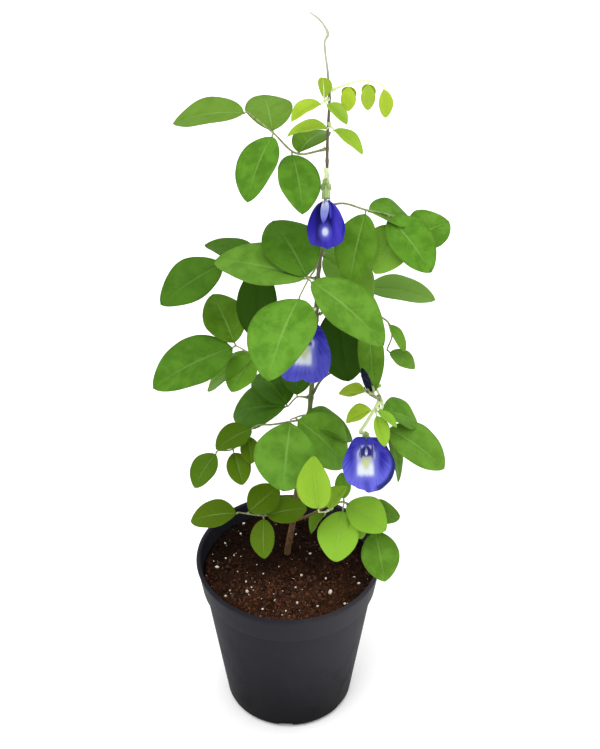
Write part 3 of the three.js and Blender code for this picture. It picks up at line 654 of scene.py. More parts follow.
def end_tree(tree, geometry, finishes):
    """Makes instances real, gives each selection its material and ends the tree."""
    geometry = tree.node("GeometryNodeSetShadeSmooth", None, {"Geometry": geometry, "Shade Smooth": True})
    geometry = tree.node("GeometryNodeRealizeInstances", None, {"Geometry": geometry})
    for selection, finish in finishes:
        sockets = {"Geometry": geometry, "Selection": selection, "Material": finish}
        geometry = tree.node("GeometryNodeSetMaterial", None, sockets)
    tree.node("NodeGroupOutput", None, {"Geometry": geometry})


# Meshes

class Plan:
    """Lines and lone points that a tree grows into a piece, with named numbers at each point."""

    def __init__(self):
        self.points = []
        self.edges = []
        self.notes = []

    def line(self, points, girths, **notes):
        first = len(self.points)
        self.points.extend(points)
        self.edges.extend((first + i, first + i + 1) for i in range(len(points) - 1))
        self.notes.extend({"girth": girth, **notes} for girth in girths)

    def lone(self, point, **notes):
        self.points.append(point)
        self.notes.append(notes)

    def mesh(self, name):
        made = bpy.data.meshes.new(name)
        made.from_pydata([tuple(p) for p in self.points], self.edges, [])
        keep_notes(made, self.notes)
        return made


def keep_notes(mesh, notes):
    """Keeps named numbers or vectors at the points of a mesh. What a point lacks is 0."""
    samples = {key: value for note in notes for key, value in note.items()}
    for key, sample in samples.items():
        wide = isinstance(sample, (tuple, Vector))
        layer = mesh.attributes.new(key, "FLOAT_VECTOR" if wide else "FLOAT", "POINT")
        empty = (0, 0, 0) if wide else 0
        values = [note.get(key, empty) for note in notes]
        flat = [float(part) for value in values for part in value] if wide else [float(v) for v in values]
        layer.data.foreach_set("vector" if wide else "value", flat)


class Skin:
    """Closed skins of one piece, with a vector kept at each point."""

    def __init__(self):
        self.points = []
        self.faces = []
        self.notes = []

    def loft(self, rings, notes, strip=False):
        """A skin over like rings of points, capped at both ends. A strip's ring runs out and back."""
        first = len(self.points)
        count = len(rings[0])
        self.points.extend(point for ring in rings for point in ring)
        self.notes.extend(note for ring in notes for note in ring)
        for i in range(len(rings) - 1):
            for k in range(count):
                a, b = (first + i * count + j for j in (k, (k + 1) % count))
                self.faces.append((a, b, b + count, a + count))
        for start, turn in ((first, -1), (first + (len(rings) - 1) * count, 1)):
            cap = list(range(start, start + count))[::turn]
            if strip:
                for j in range(count // 2 - 1):
                    self.faces.append((cap[j], cap[j + 1], cap[count - 2 - j], cap[count - 1 - j]))
            else:
                self.faces.append(cap)

    def mesh(self, name, note_name, *materials):
        """A plain mesh whose faces all point outwards."""
        made = bpy.data.meshes.new(name)
        made.from_pydata([tuple(p) for p in self.points], [], self.faces)
        keep_notes(made, [{note_name: note} for note in self.notes])
        shell = bmesh.new()
        shell.from_mesh(made)
        bmesh.ops.recalc_face_normals(shell, faces=shell.faces)
        shell.to_mesh(made)
        shell.free()
        made.shade_smooth()
        for one in materials:
            made.materials.append(one)
        return made


def thing(name, mesh):
    """An object of that mesh, in the scene."""
    made = bpy.data.objects.new(name, mesh)
    bpy.context.scene.collection.objects.link(made)
    return made


def settle(piece):
    """The piece with its modifiers' result as a plain mesh."""
    depsgraph = bpy.context.evaluated_depsgraph_get()
    evaluated = piece.evaluated_get(depsgraph)
    piece_mesh = bpy.data.meshes.new_from_object(
        evaluated, preserve_all_data_layers=True, depsgraph=depsgraph
    )
    piece.modifiers.clear()
    piece.data = piece_mesh
    return piece


def grow(name, mesh, group, **inputs):
    """What a geometry tree makes of a mesh. An input's name is written with _ for each space."""
    piece = thing(name, mesh)
    modifier = piece.modifiers.new("grow", "NODES")
    modifier.node_group = group
    wanted = {key.replace("_", " "): value for key, value in inputs.items()}
    for item in group.interface.items_tree:
        if item.in_out == "INPUT" and item.name in wanted:
            modifier[item.identifier] = wanted[item.name]
    return settle(piece)


def dress(piece, slot, *nodes):
    """The piece rides with the plant and stands for CAD nodes, which it hides. The slot is not used."""
    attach(piece, "root")
    if nodes:
        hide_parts(*nodes)
    return piece


# Finishes

def leaf_finish(name, glow):
    """A leaf blade: darker between its veins, paler beneath, yellow-green while it is young, with painted
    shade on leaflets in shadow and painted light on leaflets in light.
    """
    made, tree = material(name)
    share, lane, face = tree.split(tree.attribute("blade"))
    age, painted_light_level, luck = tree.split(tree.attribute("look"))
    spot = tree.coordinates()
    off = abs(lane)
    beneath = tree.ease(face, -0.2, 0.2, 1.0, 0.0)
    midrib = tree.ease(off, 0.012, 0.06, 1.0, 0.0) * tree.ease(share, 0.3, 1.0, 1.0, 0.25)
    beat = tree.node("ShaderNodeMath", {"operation": "PINGPONG"}, {0: vein_beat(share, lane), 1: 0.5})
    side_veins = tree.ease(beat, 0.0, 0.07, 1.0, 0.0) * tree.ease(off, 0.0, 0.9, 1.0, 0.0)
    patches = tree.noise(spot, 90.0, 3.0, 0.6)
    cells = tree.noise(spot, 1100.0, 2.0, 0.6)
    green = tree.blend(tree.ease(patches, 0.35, 0.65), LEAF_DARK, LEAF_LIGHT)
    young = tree.blend(tree.ease(patches, 0.3, 0.7), YOUNG_DARK, YOUNG_LIGHT)
    green = tree.blend(tree.ease(age, -1.0, 0.0, 1.0, 0.0), green, LEAF_OLD)
    body = tree.blend(tree.ease(age + luck * 0.06, 0.0, 0.55), green, LEAF_FRESH)
    body = tree.blend(tree.ease(age + luck * 0.06, 0.5, 1.0), body, young)
    vein = tree.blend(tree.ease(age, 0.4, 0.8), LEAF_VEIN, YOUNG_VEIN)
    body = tree.blend(midrib * 0.55 + side_veins * 0.2, body, vein)
    body = tree.blend(tree.ease(off, 0.965, 1.0) * 0.5, body, LEAF_MARGIN)
    # Painted shade and painted light: each leaflet's tone darkens it where it lies in shadow and lightens
    # it where it lies in light.
    body = tree.blend(tree.ease(painted_light_level * -1.0 + patches * 0.1, 0.0, 1.0), body, LEAF_PAINTED_SHADE)
    body = tree.blend(tree.ease(painted_light_level + (patches - 0.5) * 0.2, 0.0, 0.6), body, LEAF_PAINTED_LIGHT)
    under = tree.blend(tree.ease(age, 0.4, 0.8), LEAF_BENEATH, YOUNG_DARK)
    body = tree.blend(beneath * 0.6, body, under)
    relief = cells * 0.3 - midrib * 1.2 - side_veins * 0.8
    normal = tree.bump(relief, 0.35, 0.0003)
    gloss = 0.42 + 0.12 * patches + beneath * 0.2
    sheen = {"Base_Color": body, "Roughness": gloss, "Normal": normal, "Specular_IOR_Level": 0.07}
    face_on = tree.coat(**sheen)
    through = tree.node("ShaderNodeBsdfTranslucent", None, {"Color": glow})
    tree.close(tree.node("ShaderNodeMixShader", None, {"Fac": 0.15, 1: face_on, 2: through}))
    return made


def vein_beat(share, lane):
    """A number that is whole on each side vein. The two sides of a leaflet take turns."""
    off = abs(lane)
    slant, bend = VEIN_SLANT
    return (share - off * slant - off * off * bend) * SIDE_VEINS + (lane > 0.0) * 0.5


LEAF_DARK = colour(78, 126, 28)
LEAF_LIGHT = colour(98, 150, 42)
LEAF_FRESH = colour(134, 184, 52)
LEAF_PAINTED_LIGHT = colour(118, 160, 66)
LEAF_PAINTED_SHADE = colour(40, 74, 0)
LEAF_VEIN = colour(138, 182, 88)
LEAF_MARGIN = colour(116, 140, 50)
LEAF_BENEATH = colour(92, 130, 60)
LEAF_GLOW = colour(91, 154, 20)
LEAF_OLD = colour(84, 110, 4)
YOUNG_DARK = colour(160, 186, 40)
YOUNG_LIGHT = colour(180, 204, 58)
YOUNG_GLOW = colour(176, 204, 42)
YOUNG_VEIN = colour(190, 216, 92)
STALK_GREEN = colour(139, 157, 92)
STALK_BROWN = colour(108, 103, 75)
STALK_CREAM = colour(210, 226, 168)
BARK_BASE = colour(121, 87, 53)
BARK_CRACK = colour(71, 48, 28)
STEM_GREEN = colour(87, 100, 46)
STEM_PURPLE = colour(100, 87, 73)
STEM_TIP = colour(171, 176, 151)
PETAL_DEEP = colour(40, 33, 150)
PETAL_BLUE = colour(66, 66, 186)
PETAL_PALE = colour(112, 114, 222)
PETAL_PAINTED_SHADE = colour(14, 11, 58)
PETAL_LAVENDER = colour(138, 142, 224)
PETAL_FOLD_SHADE = colour(18, 30, 88)
PETAL_CREASE_SHADE = colour(52, 50, 150)
PETAL_INK = colour(34, 26, 150)
PETAL_PAINTED_LIGHT = colour(72, 62, 190)
THROAT_PAINTED_SHADE = colour(58, 56, 140)
THROAT_ARCH = colour(190, 196, 238)
THROAT_GREEN = colour(190, 200, 130)
THROAT_WHITE = colour(216, 222, 238)
KEEL_WHITE = colour(186, 190, 224)
KEEL_GREEN = colour(122, 132, 168)
CALYX_PALE = colour(176, 198, 128)
CALYX_GREEN = colour(104, 136, 66)
CALYX_BROWN = colour(82, 66, 41)
BUD_NAVY = colour(3, 6, 26)
BUD_STREAK = colour(88, 104, 124)
HAIR = colour(190, 194, 169)
SOIL_BACK_SHADE = colour(15, 8, 5)
SOIL_BLACK = colour(24, 13, 8)
SOIL_BROWN = colour(52, 29, 17)
SOIL_RED = colour(106, 68, 48)
PERLITE_WHITE = colour(214, 205, 192)
PERLITE_DUSTY = colour(148, 123, 98)
CHIP_BROWN = colour(76, 50, 32)
POT_BLACK = colour(27, 27, 34)
POT_WORN = colour(44, 44, 53)
POT_DUST_AND_LIGHT = colour(62, 60, 64)
POT_BOTTOM_SHADE = colour(4, 4, 7)
FLOOR_PALE = (0.97, 0.97, 0.97, 1.0)


def stalk_finish():
    """Leaf stalks and flower stalks: pale green, browner where they are old."""
    made, tree = material("stalk")
    age = tree.split(tree.attribute("look"))[0]
    spot = tree.coordinates()
    streaks = tree.noise(spot * (1.0, 1.0, 0.3), 700.0, 3.0)
    body = tree.blend(tree.ease(streaks, 0.3, 0.7), STALK_GREEN, STALK_BROWN)
    body = tree.blend(tree.ease(age - streaks * 0.2, 0.3, 0.8), body, STALK_CREAM)
    tree.close(tree.coat(Base_Color=body, Roughness=0.55, Normal=tree.bump(streaks, 0.3, 0.0002)))
    return made


def stem_finish():
    """The stem: tan bark below, greener above, brown near the top, pale at its tip and its shoots."""
    made, tree = material("stem_bark")
    spot = tree.coordinates()
    x, y, height = tree.split(spot)
    x, y = x - 0.012, y - 0.005
    away = tree.reckon("SQRT", x * x + y * y)
    cracks = tree.noise(spot * (1.0, 1.0, 0.22), 900.0, 4.0, 0.65)
    spots = tree.flecks(spot * (1.0, 1.0, 0.5), 700.0)
    bark = tree.blend(tree.ease(cracks, 0.35, 0.6), BARK_CRACK, BARK_BASE)
    body = tree.blend(tree.ease(height, 0.15, 0.24), bark, STEM_GREEN)
    body = tree.blend(tree.ease(height, 0.3, 0.42), body, STEM_PURPLE)
    body = tree.blend(tree.ease(height, 0.49, 0.52), body, STEM_TIP)
    body = tree.blend(tree.ease(away, 0.022, 0.045) * 0.85, body, STALK_CREAM)
    body = tree.blend(tree.ease(cracks, 0.5, 0.75) * 0.5, body, BARK_CRACK)
    body = tree.blend(tree.ease(spots, 0.0, 0.18, 0.6, 0.0), body, STALK_GREEN)
    normal = tree.bump(cracks, 0.6, 0.0005)
    tree.close(tree.coat(Base_Color=body, Roughness=0.62 + cracks * 0.2, Normal=normal))
    return made


def petal_finish():
    """Blue petals with radial veins, and a white-edged throat: painted shade above, green and white below.
    A furled banner has painted light on its right and lower part, and painted shade beside its wings.
    """
    made, tree = material("petal")
    across, along, part = tree.split(tree.attribute("petal"))
    spread = 1.0 - (part > -0.5)
    spot = tree.coordinates()
    turn = tree.reckon("ARCTAN2", across, along + 6.0)
    reach = tree.reckon("SQRT", across * across + along * along)
    fan = tree.noise(tree.combine(turn * 16.0, reach * 0.05, part), 1.0, 4.0, 0.6)
    fine = tree.noise(tree.combine(turn * 60.0, reach * 0.12, part), 1.0, 2.0)
    clouds = tree.noise(spot, 110.0, 2.0)
    ragged = (fan - 0.5) * 4.0 + (fine - 0.5) * 2.0
    body = tree.blend(tree.ease(fan * 0.6 + clouds * 0.4, 0.38, 0.62), PETAL_DEEP, PETAL_BLUE)
    body = tree.blend(tree.ease(reach + fan * 8.0, 14.0, 27.0) * (0.75 - spread * 0.4), body, PETAL_PALE)
    body = tree.blend(tree.ease(fine, 0.55, 0.75) * 0.3, body, PETAL_DEEP)
    rim = tree.ease(reach, 15.0, 25.0) * tree.ease(fan * 0.7 + fine * 0.3, 0.47, 0.6)
    body = tree.blend(rim * 0.55, body, PETAL_DEEP)
    # Painted light: the furled banner is painted lighter right of its middle and towards its lower end.
    lit = tree.ease(across, 3.0, 7.0) * tree.ease(across, 9.0, 13.0, 1.0, 0.0)
    lit = tree.reckon("MAXIMUM", lit, tree.ease(along + fan * 4.0, 16.0, 25.0) * 0.7)
    furled = tree.blend(lit * 0.8, PETAL_INK, PETAL_PAINTED_LIGHT)
    furled = tree.blend(tree.ease(fan, 0.4, 0.6) * 0.3, furled, PETAL_INK)
    face = throat_colours(tree, body, across, along - spread * 3.0, ragged)
    face = painted_rim_shade(tree, face, across, along, part)
    body = tree.blend(part > 2.7, face, furled_throat(tree, furled, across, along))
    body = wing_colours(tree, body, across, along, part)
    normal = tree.bump(fan * 0.6 + fine * 0.5 + clouds * 0.3, 0.3, 0.0004)
    velvet = tree.coat(
        Base_Color=body, Roughness=0.6, Normal=normal, Sheen_Weight=0.1, Specular_IOR_Level=0.08
    )
    through = tree.node("ShaderNodeBsdfTranslucent", None, {"Color": PETAL_BLUE})
    tree.close(tree.node("ShaderNodeMixShader", None, {"Fac": 0.12, 1: velvet, 2: through}))
    return made


def throat_colours(tree, body, across, along, ragged):
    """The keyhole of an open flower: a pale arch round a hollow painted dark as painted shade, then green,
    then a white patch.
    """
    off = abs(across)
    half = tree.ease(along, -5.2, 1.2, 2.0, 5.2) + ragged * 0.06
    glow = tree.ease(off - half + ragged * 0.4, -0.5, 4.6, 0.6, 0.0) * tree.ease(along, -6.0, -1.0)
    glow = glow * tree.ease(along + ragged, 13.5, 21.0, 1.0, 0.0)
    # Painted shade: the hollow between the wings is painted dusky navy.
    hollow = tree.ease(half - off, -0.2, 1.2) * tree.ease(along, -4.6, -2.4)
    hollow = hollow * tree.ease(along + ragged * 0.4, 1.6, 3.8, 1.0, 0.0)
    arch = tree.ease(abs(off - half), 0.3, 1.3, 1.0, 0.0) * tree.ease(along, -4.8, -3.4)
    arch = arch * tree.ease(along, 1.5, 6.0, 1.0, 0.0)
    core = 5.1 + ragged * 0.15 - abs(across + 0.5)
    patch = tree.ease(core, -1.3, 1.2) * tree.ease(along, 2.0, 4.2)
    patch = patch * tree.ease(along + ragged * 0.6, 13.2, 16.8, 1.0, 0.0)
    milky = tree.ease(along + ragged * 0.3 - off * 0.6, 2.5, 8.0, 0.3, 1.0)
    wide = tree.ease(along, 3.0, 12.0, 3.6, 1.4)
    green = tree.ease(abs(across + 0.2) - wide, -1.3, 1.2, 0.85, 0.0)
    green = green * tree.ease(along, 9.0, 13.5, 1.0, 0.0)
    painted_dusk_shade = tree.blend(tree.ease(ragged, -1.6, 0.2), PETAL_PAINTED_SHADE, THROAT_PAINTED_SHADE)
    pale = tree.blend(green, tree.blend(milky, PETAL_LAVENDER, THROAT_WHITE), THROAT_GREEN)
    body = tree.blend(glow, body, PETAL_LAVENDER)
    body = tree.blend(hollow, body, painted_dusk_shade)
    body = tree.blend(patch, body, pale)
    return tree.blend(arch * 0.9, body, THROAT_ARCH)


def painted_rim_shade(tree, body, across, along, part):
    """Painted shade: the open flower's right rim is painted dark where it turns back, and a painted shadow
    lies along the crease above its lowest lobe.
    """
    only = part > -0.5
    right = across - 1.5
    low = along - 7.5
    reach = tree.reckon("SQRT", right * right + low * low)
    rim = tree.ease(reach, 13.6, 16.0) * tree.ease(across, 3.0, 8.0)
    crease_shade = tree.ease(abs(across + 0.8), 0.4, 3.6, 1.0, 0.0) * tree.ease(along, 15.5, 21.0)
    body = tree.blend(rim * only * 0.9, body, PETAL_FOLD_SHADE)
    return tree.blend(crease_shade * only * 0.6, body, PETAL_CREASE_SHADE)


def furled_throat(tree, body, across, along):
    """The throat of a furled flower: painted shade beside the wings, with a small white mark below them."""
    wide = abs(across + 0.5) * 0.42
    tall = (along - 17.6) * 0.3
    far = tree.reckon("SQRT", wide * wide + tall * tall)
    # Painted shade: a dark band left of the wings and a dark slit right of them.
    left = tree.ease(abs(across + 4.6), 0.8, 3.2, 0.65, 0.0) * tree.ease(along, 21.0, 27.0, 1.0, 0.0)
    slit_shade = tree.ease(abs(across - 2.4), 0.5, 1.8, 0.8, 0.0) * tree.ease(along, 14.5, 17.0, 1.0, 0.0)
    body = tree.blend(tree.reckon("MAXIMUM", left, slit_shade), body, PETAL_PAINTED_SHADE)
    body = tree.blend(tree.ease(far, 0.6, 2.2, 0.6, 0.0), body, PETAL_PALE)
    return tree.blend(tree.ease(far, 0.35, 1.1, 0.95, 0.0), body, THROAT_WHITE)


def wing_colours(tree, body, across, along, part):
    """Wings painted dusky as painted shade, with a pale margin. In a furled flower one shows its pale side,
    the other its blue.
    """
    # Painted shade: the open flower's wings take the dusky shade colour of the hollow.
    wing = tree.blend(tree.ease(abs(across), 0.5, 0.9) * 0.45, THROAT_PAINTED_SHADE, THROAT_ARCH)
    pale = tree.blend(tree.ease(along, 0.1, 0.55), THROAT_WHITE, PETAL_LAVENDER)
    pale = tree.blend(tree.ease(along, 0.6, 1.0) * 0.6, pale, PETAL_BLUE)
    blue = tree.blend(tree.ease(abs(across), 0.2, 0.8), PETAL_BLUE, PETAL_DEEP)
    body = tree.blend((part > 0.5) * (1.0 - (part > 1.5)), body, wing)
    body = tree.blend((part > 1.5) * (1.0 - (part > 2.2)), body, pale)
    return tree.blend((part > 2.2) * (1.0 - (part > 2.7)), body, blue)


def keel_finish():
    """The keel: white, green towards its foot."""
    made, tree = material("keel")
    spot = tree.coordinates()
    share = tree.split(tree.attribute("keel"))[0]
    mottle = tree.noise(spot, 600.0, 2.0)
    body = tree.blend(tree.ease(share + mottle * 0.3, 0.3, 0.9, 1.0, 0.0), KEEL_WHITE, KEEL_GREEN)
    tree.close(tree.coat(Base_Color=body, Roughness=0.5, Normal=tree.bump(mottle, 0.2, 0.0002)))
    return made


def calyx_finish():
    """The calyx: pale green with darker veins along it, brown where it is old."""
    made, tree = material("calyx")
    share, turn, brown = tree.split(tree.attribute("calyx"))
    spot = tree.coordinates()
    veins = tree.reckon("COSINE", turn * 10.0)
    mottle = tree.noise(spot, 420.0, 3.0)
    body = tree.blend(tree.ease(veins + mottle, 0.9, 1.6) * 0.6, CALYX_PALE, CALYX_GREEN)
    body = tree.blend(tree.ease(share, 0.5, 1.0) * 0.4, body, CALYX_GREEN)
    body = tree.blend(tree.ease(mottle + brown * 0.5, 0.6, 0.9), body, CALYX_BROWN)
    normal = tree.bump(veins * 0.3 + mottle, 0.35, 0.0003)
    skin = tree.coat(Base_Color=body, Roughness=0.55, Normal=normal)
    through = tree.node("ShaderNodeBsdfTranslucent", None, {"Color": CALYX_PALE})
    tree.close(tree.node("ShaderNodeMixShader", None, {"Fac": 0.12, 1: skin, 2: through}))
    return made


def bud_finish():
    """The furled bud: dark navy with paler streaks that wind along it, and painted shade where its petal
    laps over itself.
    """
    made, tree = material("bud")
    share, turn, fold = tree.split(tree.attribute("bud"))
    streaks = tree.noise(tree.combine(turn * 5.0, share * 1.4, 0.0), 1.6, 4.0, 0.6)
    body = tree.blend(tree.ease(streaks, 0.52, 0.72) * 0.6, BUD_NAVY, BUD_STREAK)
    # Painted shade in the fold where the wrapped petal laps over itself.
    body = tree.blend(tree.ease(fold, 0.85, 1.0) * 0.6, body, PETAL_PAINTED_SHADE)
    normal = tree.bump(streaks, 0.4, 0.0004)
    tree.close(tree.coat(Base_Color=body, Roughness=0.5, Normal=normal, Specular_IOR_Level=0.06))
    return made


def hair_finish():
    """Fine pale hairs on stems and calyxes."""
    made, tree = material("hair")
    shimmer = tree.noise(tree.coordinates(), 300.0)
    body = tree.blend(shimmer, HAIR, STALK_GREEN)
    tree.close(tree.coat(Base_Color=body, Roughness=0.5))
    return made


def soil_finish():
    """Peat mix: near black, with painted shade towards the back, and redder in front where it is partly
    painted light.
    """
    made, tree = material("potting_mix")
    spot = tree.coordinates()
    luck = tree.split(tree.attribute("luck"))[0]
    x, depth, _ = tree.split(spot)
    x = x * 0.7
    front = depth + 0.034
    middle = tree.reckon("SQRT", x * x + front * front)
    clods = tree.noise(spot, 70.0, 3.0, 0.6)
    grit = tree.noise(spot, 900.0, 4.0, 0.7)
    mix = grit * 0.3 + luck * 0.2 + clods * 0.5
    body = tree.blend(tree.ease(mix, 0.35, 0.65), SOIL_BLACK, SOIL_BROWN)
    # Painted light: the front middle is painted redder and lighter; elsewhere a little red stays as the
    # mix's own colour.
    front_light_and_red = tree.ease(middle + (clods - 0.5) * 0.06, 0.012, 0.044, 1.0, 0.3)
    body = tree.blend(front_light_and_red * tree.ease(grit * 0.5 + luck * 0.2 + clods * 0.3, 0.3, 0.7), body, SOIL_RED)
    # Painted shade: the soil is painted darker towards the back.
    body = tree.blend(tree.ease(depth, -0.02, 0.03) * 0.75, body, SOIL_BACK_SHADE)
    normal = tree.bump(grit + clods, 0.7, 0.001)
    rough = 0.85 + grit * 0.1
    tree.close(tree.coat(Base_Color=body, Roughness=rough, Normal=normal, Specular_IOR_Level=0.04))
    return made


def perlite_finish():
    """Perlite: chalky white grains, some stained by the peat."""
    made, tree = material("perlite")
    spot = tree.coordinates()
    luck = tree.split(tree.attribute("luck"))[0]
    stain = tree.noise(spot, 500.0, 3.0)
    pores = tree.flecks(spot, 2600.0)
    body = tree.blend(tree.ease(stain * 0.5 + luck * 0.7, 0.55, 1.0), PERLITE_WHITE, PERLITE_DUSTY)
    normal = tree.bump(pores, 0.5, 0.0002)
    tree.close(tree.coat(Base_Color=body, Roughness=0.9, Normal=normal))
    return made


def chip_finish():
    """Bark chips and fibres in the soil."""
    made, tree = material("bark_chip")
    spot = tree.coordinates()
    luck = tree.split(tree.attribute("luck"))[0]
    grain = tree.noise(spot * (1.0, 0.3, 1.0), 1400.0, 3.0)
    body = tree.blend(tree.ease(grain * 0.5 + luck * 0.6, 0.3, 0.9), SOIL_BROWN, CHIP_BROWN)
    tree.close(tree.coat(Base_Color=body, Roughness=0.9, Normal=tree.bump(grain, 0.6, 0.0004)))
    return made


def pot_finish():
    """Moulded black plastic: fine grain, faint rings from its mould, scuffs and a little dust, with painted
    light on its right side and painted shade towards the bottom.
    """
    made, tree = material("pot_plastic")
    spot = tree.coordinates()
    x, y, z = tree.split(spot)
    grain = tree.noise(spot, 1600.0, 2.0)
    scuffs = tree.noise(spot * (1.0, 1.0, 0.25), 60.0, 5.0, 0.7)
    rings = tree.reckon("SINE", z * 5200.0)
    dust = tree.noise(spot, 45.0, 4.0, 0.7)
    radius = tree.reckon("SQRT", x * x + y * y)
    lip = tree.ease(z, 0.11, 0.129) * tree.ease(radius, 0.055, 0.064)
    body = tree.blend(tree.ease(scuffs, 0.5, 0.78) * 0.6, POT_BLACK, POT_WORN)
    body = tree.blend(tree.ease(dust + lip * 0.12, 0.58, 0.85) * 0.25, body, POT_DUST_AND_LIGHT)
    # Painted light: the right side is painted lighter; the same colour also serves the real dust above.
    body = tree.blend(tree.ease(x, -0.03, 0.06) * 0.45, body, POT_DUST_AND_LIGHT)
    # Painted shade: the pot is painted darker towards the bottom.
    body = tree.blend(tree.ease(z, -0.01, 0.1, 1.0, 0.0), body, POT_BOTTOM_SHADE)
    normal = tree.bump(grain * 0.4 + rings * 0.08 + scuffs * 0.5, 0.25, 0.0003)
    rough = 0.48 + scuffs * 0.18 + tree.ease(dust, 0.5, 0.8) * 0.15
    tree.close(tree.coat(Base_Color=body, Roughness=rough, Normal=normal, Specular_IOR_Level=0.07))
    return made


def floor_finish():
    made, tree = material("floor_pale")
    tree.close(tree.coat(Base_Color=FLOOR_PALE, Roughness=0.9))
    return made


LEAF = leaf_finish("leaf_blade", LEAF_GLOW)
YOUNG_LEAF = leaf_finish("young_leaf_blade", YOUNG_GLOW)
STALK = stalk_finish()
BARK = stem_finish()
PETALS = petal_finish()
KEEL_SKIN = keel_finish()
CALYX_SKIN = calyx_finish()
BUD_SKIN = bud_finish()
HAIRS = hair_finish()
MIX = soil_finish()
PERLITE = perlite_finish()
CHIPS = chip_finish()
PLASTIC = pot_finish()


# Stems and leaves

def tube(tree, geometry, sides, rough):
    """Round stalks along the lines of a plan, as thick as the girth at each point."""
    path = tree.node("GeometryNodeMeshToCurve", None, {"Mesh": geometry})
    sockets = {"Resolution": sides, "Radius": 1.0}
    ring = tree.node("GeometryNodeCurvePrimitiveCircle", None, sockets, "Curve")
    girth = tree.kept("girth", "FLOAT")
    sockets = {"Curve": path, "Profile Curve": ring, "Scale": girth, "Fill Caps": True}
    skin = tree.node("GeometryNodeCurveToMesh", None, sockets)
    lumps = tree.noise(tree.place() * (1.0, 1.0, 0.3), 420.0, 2.0)
    outward = tree.node("GeometryNodeInputNormal", None, None, "Normal")
    sockets = {"Geometry": skin, "Offset": outward * ((lumps - 0.5) * rough)}
    return tree.node("GeometryNodeSetPosition", None, sockets)


def stalk_group():
    made, tree, given = geometry_tree("stalks", {"Sides": "Int", "Rough": "Float", "Finish": "Material"})
    stalks = tube(tree, given["Geometry"], given["Sides"], given["Rough"])
    end_tree(tree, stalks, [(True, given["Finish"])])
    return made


def leaf_group():
    """Stalks along the lines, and a blade at each lone point, shaped from a flat box."""
    inputs = {
        "Stations": "Int", "Lanes": "Int", "Thickness": "Float", "Blade": "Material", "Stalk": "Material",
    }
    made, tree, given = geometry_tree("leaf", inputs)
    stalks = tree.keep(tube(tree, given["Geometry"], STALK_SIDES, 0.0002), "stalk", 1.0, "FLOAT")
    counts = {"Vertices X": given["Stations"], "Vertices Y": given["Lanes"], "Vertices Z": 2}
    box = tree.node("GeometryNodeMeshCube", None, {"Size": (1, 2, 2), **counts}, "Mesh")
    box = tree.keep(box, "spot", tree.place() + (0.5, 0, 0))
    feet = {"Points": given["Geometry"], "Selection": tree.kept("leaflet", "FLOAT") > 0.5, "Instance": box}
    blades = tree.node("GeometryNodeInstanceOnPoints", None, feet)
    blades = tree.node("GeometryNodeRealizeInstances", None, {"Geometry": blades})
    share, lane, face = tree.split(tree.kept("spot"))
    length, width, stalk = tree.split(tree.kept("size"))
    fold, phase, _ = tree.split(tree.kept("habit"))
    lane = tree.reckon("SIGN", lane) * abs(lane) ** LANE_CROWDING
    off = abs(lane)
    swell = tree.reckon("SINE", share ** BASE_FULLNESS * math.pi)
    swell = tree.reckon("MAXIMUM", swell, 0.0) ** BLUNTNESS
    wobble = tree.noise(tree.combine(share * 5.0, lane * 0.4, phase * 3.0), 1.0, 2.0)
    half = tree.reckon("MAXIMUM", width * 0.5 * swell * (0.97 + wobble * 0.06), BLADE_END * MM)
    arch = length * share * (1.0 - share) * (4 * BOW)
    ripple = half * lane * lane * tree.reckon("SINE", phase + share * WAVE_TURN + lane) * WAVE
    rise = half * off * tree.reckon("SINE", fold)
    groove = tree.ease(off * half, 0.0, GROOVE["width"] * MM, -GROOVE["depth"] * MM, 0.0)
    groove = groove * tree.ease(share, 0.5, 1.0, 1.0, 0.2)
    quilt = tree.reckon("COSINE", vein_beat(share, lane) * (2 * math.pi)) * (-QUILT * MM)
    quilt = quilt * tree.ease(off, 0.6, 1.0, 1.0, 0.0) * tree.ease(width, 0.008, 0.03)
    drift = tree.noise(tree.combine(share * 2.2, lane * 1.3, phase * 7.0), 1.0, 1.0) - 0.5
    sway = drift * width * SWAY * share
    skin = face * given["Thickness"] * 0.5 * (1.0 - off ** 4.0 * EDGE_THINNING)
    aside = half * lane * tree.reckon("COSINE", fold)
    flat = tree.kept("forward") * (stalk + share * length) + tree.kept("side") * aside
    lift = tree.kept("up") * (arch + ripple + rise + groove + quilt + sway + skin)
    spot = tree.kept("foot") + flat + lift
    blades = tree.node("GeometryNodeSetPosition", None, {"Geometry": blades, "Position": spot})
    blades = tree.keep(blades, "blade", tree.combine(share, lane, face))
    whole = tree.node("GeometryNodeJoinGeometry", None, {"Geometry": [stalks, blades]})
    stalk_part = tree.kept("stalk", "FLOAT") > 0.5
    end_tree(tree, whole, [(True, given["Blade"]), (stalk_part, given["Stalk"])])
    return made


STALK_TREE = stalk_group()
LEAF_TREE = leaf_group()


def swollen(points, radius, base, taper):
    """Girths of a stalk that swells at its foot and thins along its length."""
    gone = 0.0
    girths = []
    for i, point in enumerate(points):
        gone += (point - points[i - 1]).length if i else 0.0
        thin = 1 - taper * i / (len(points) - 1)
        girths.append(radius * MM * (thin + base * math.exp(-((gone / (SWELL["reach"] * MM)) ** 2))))
    return girths


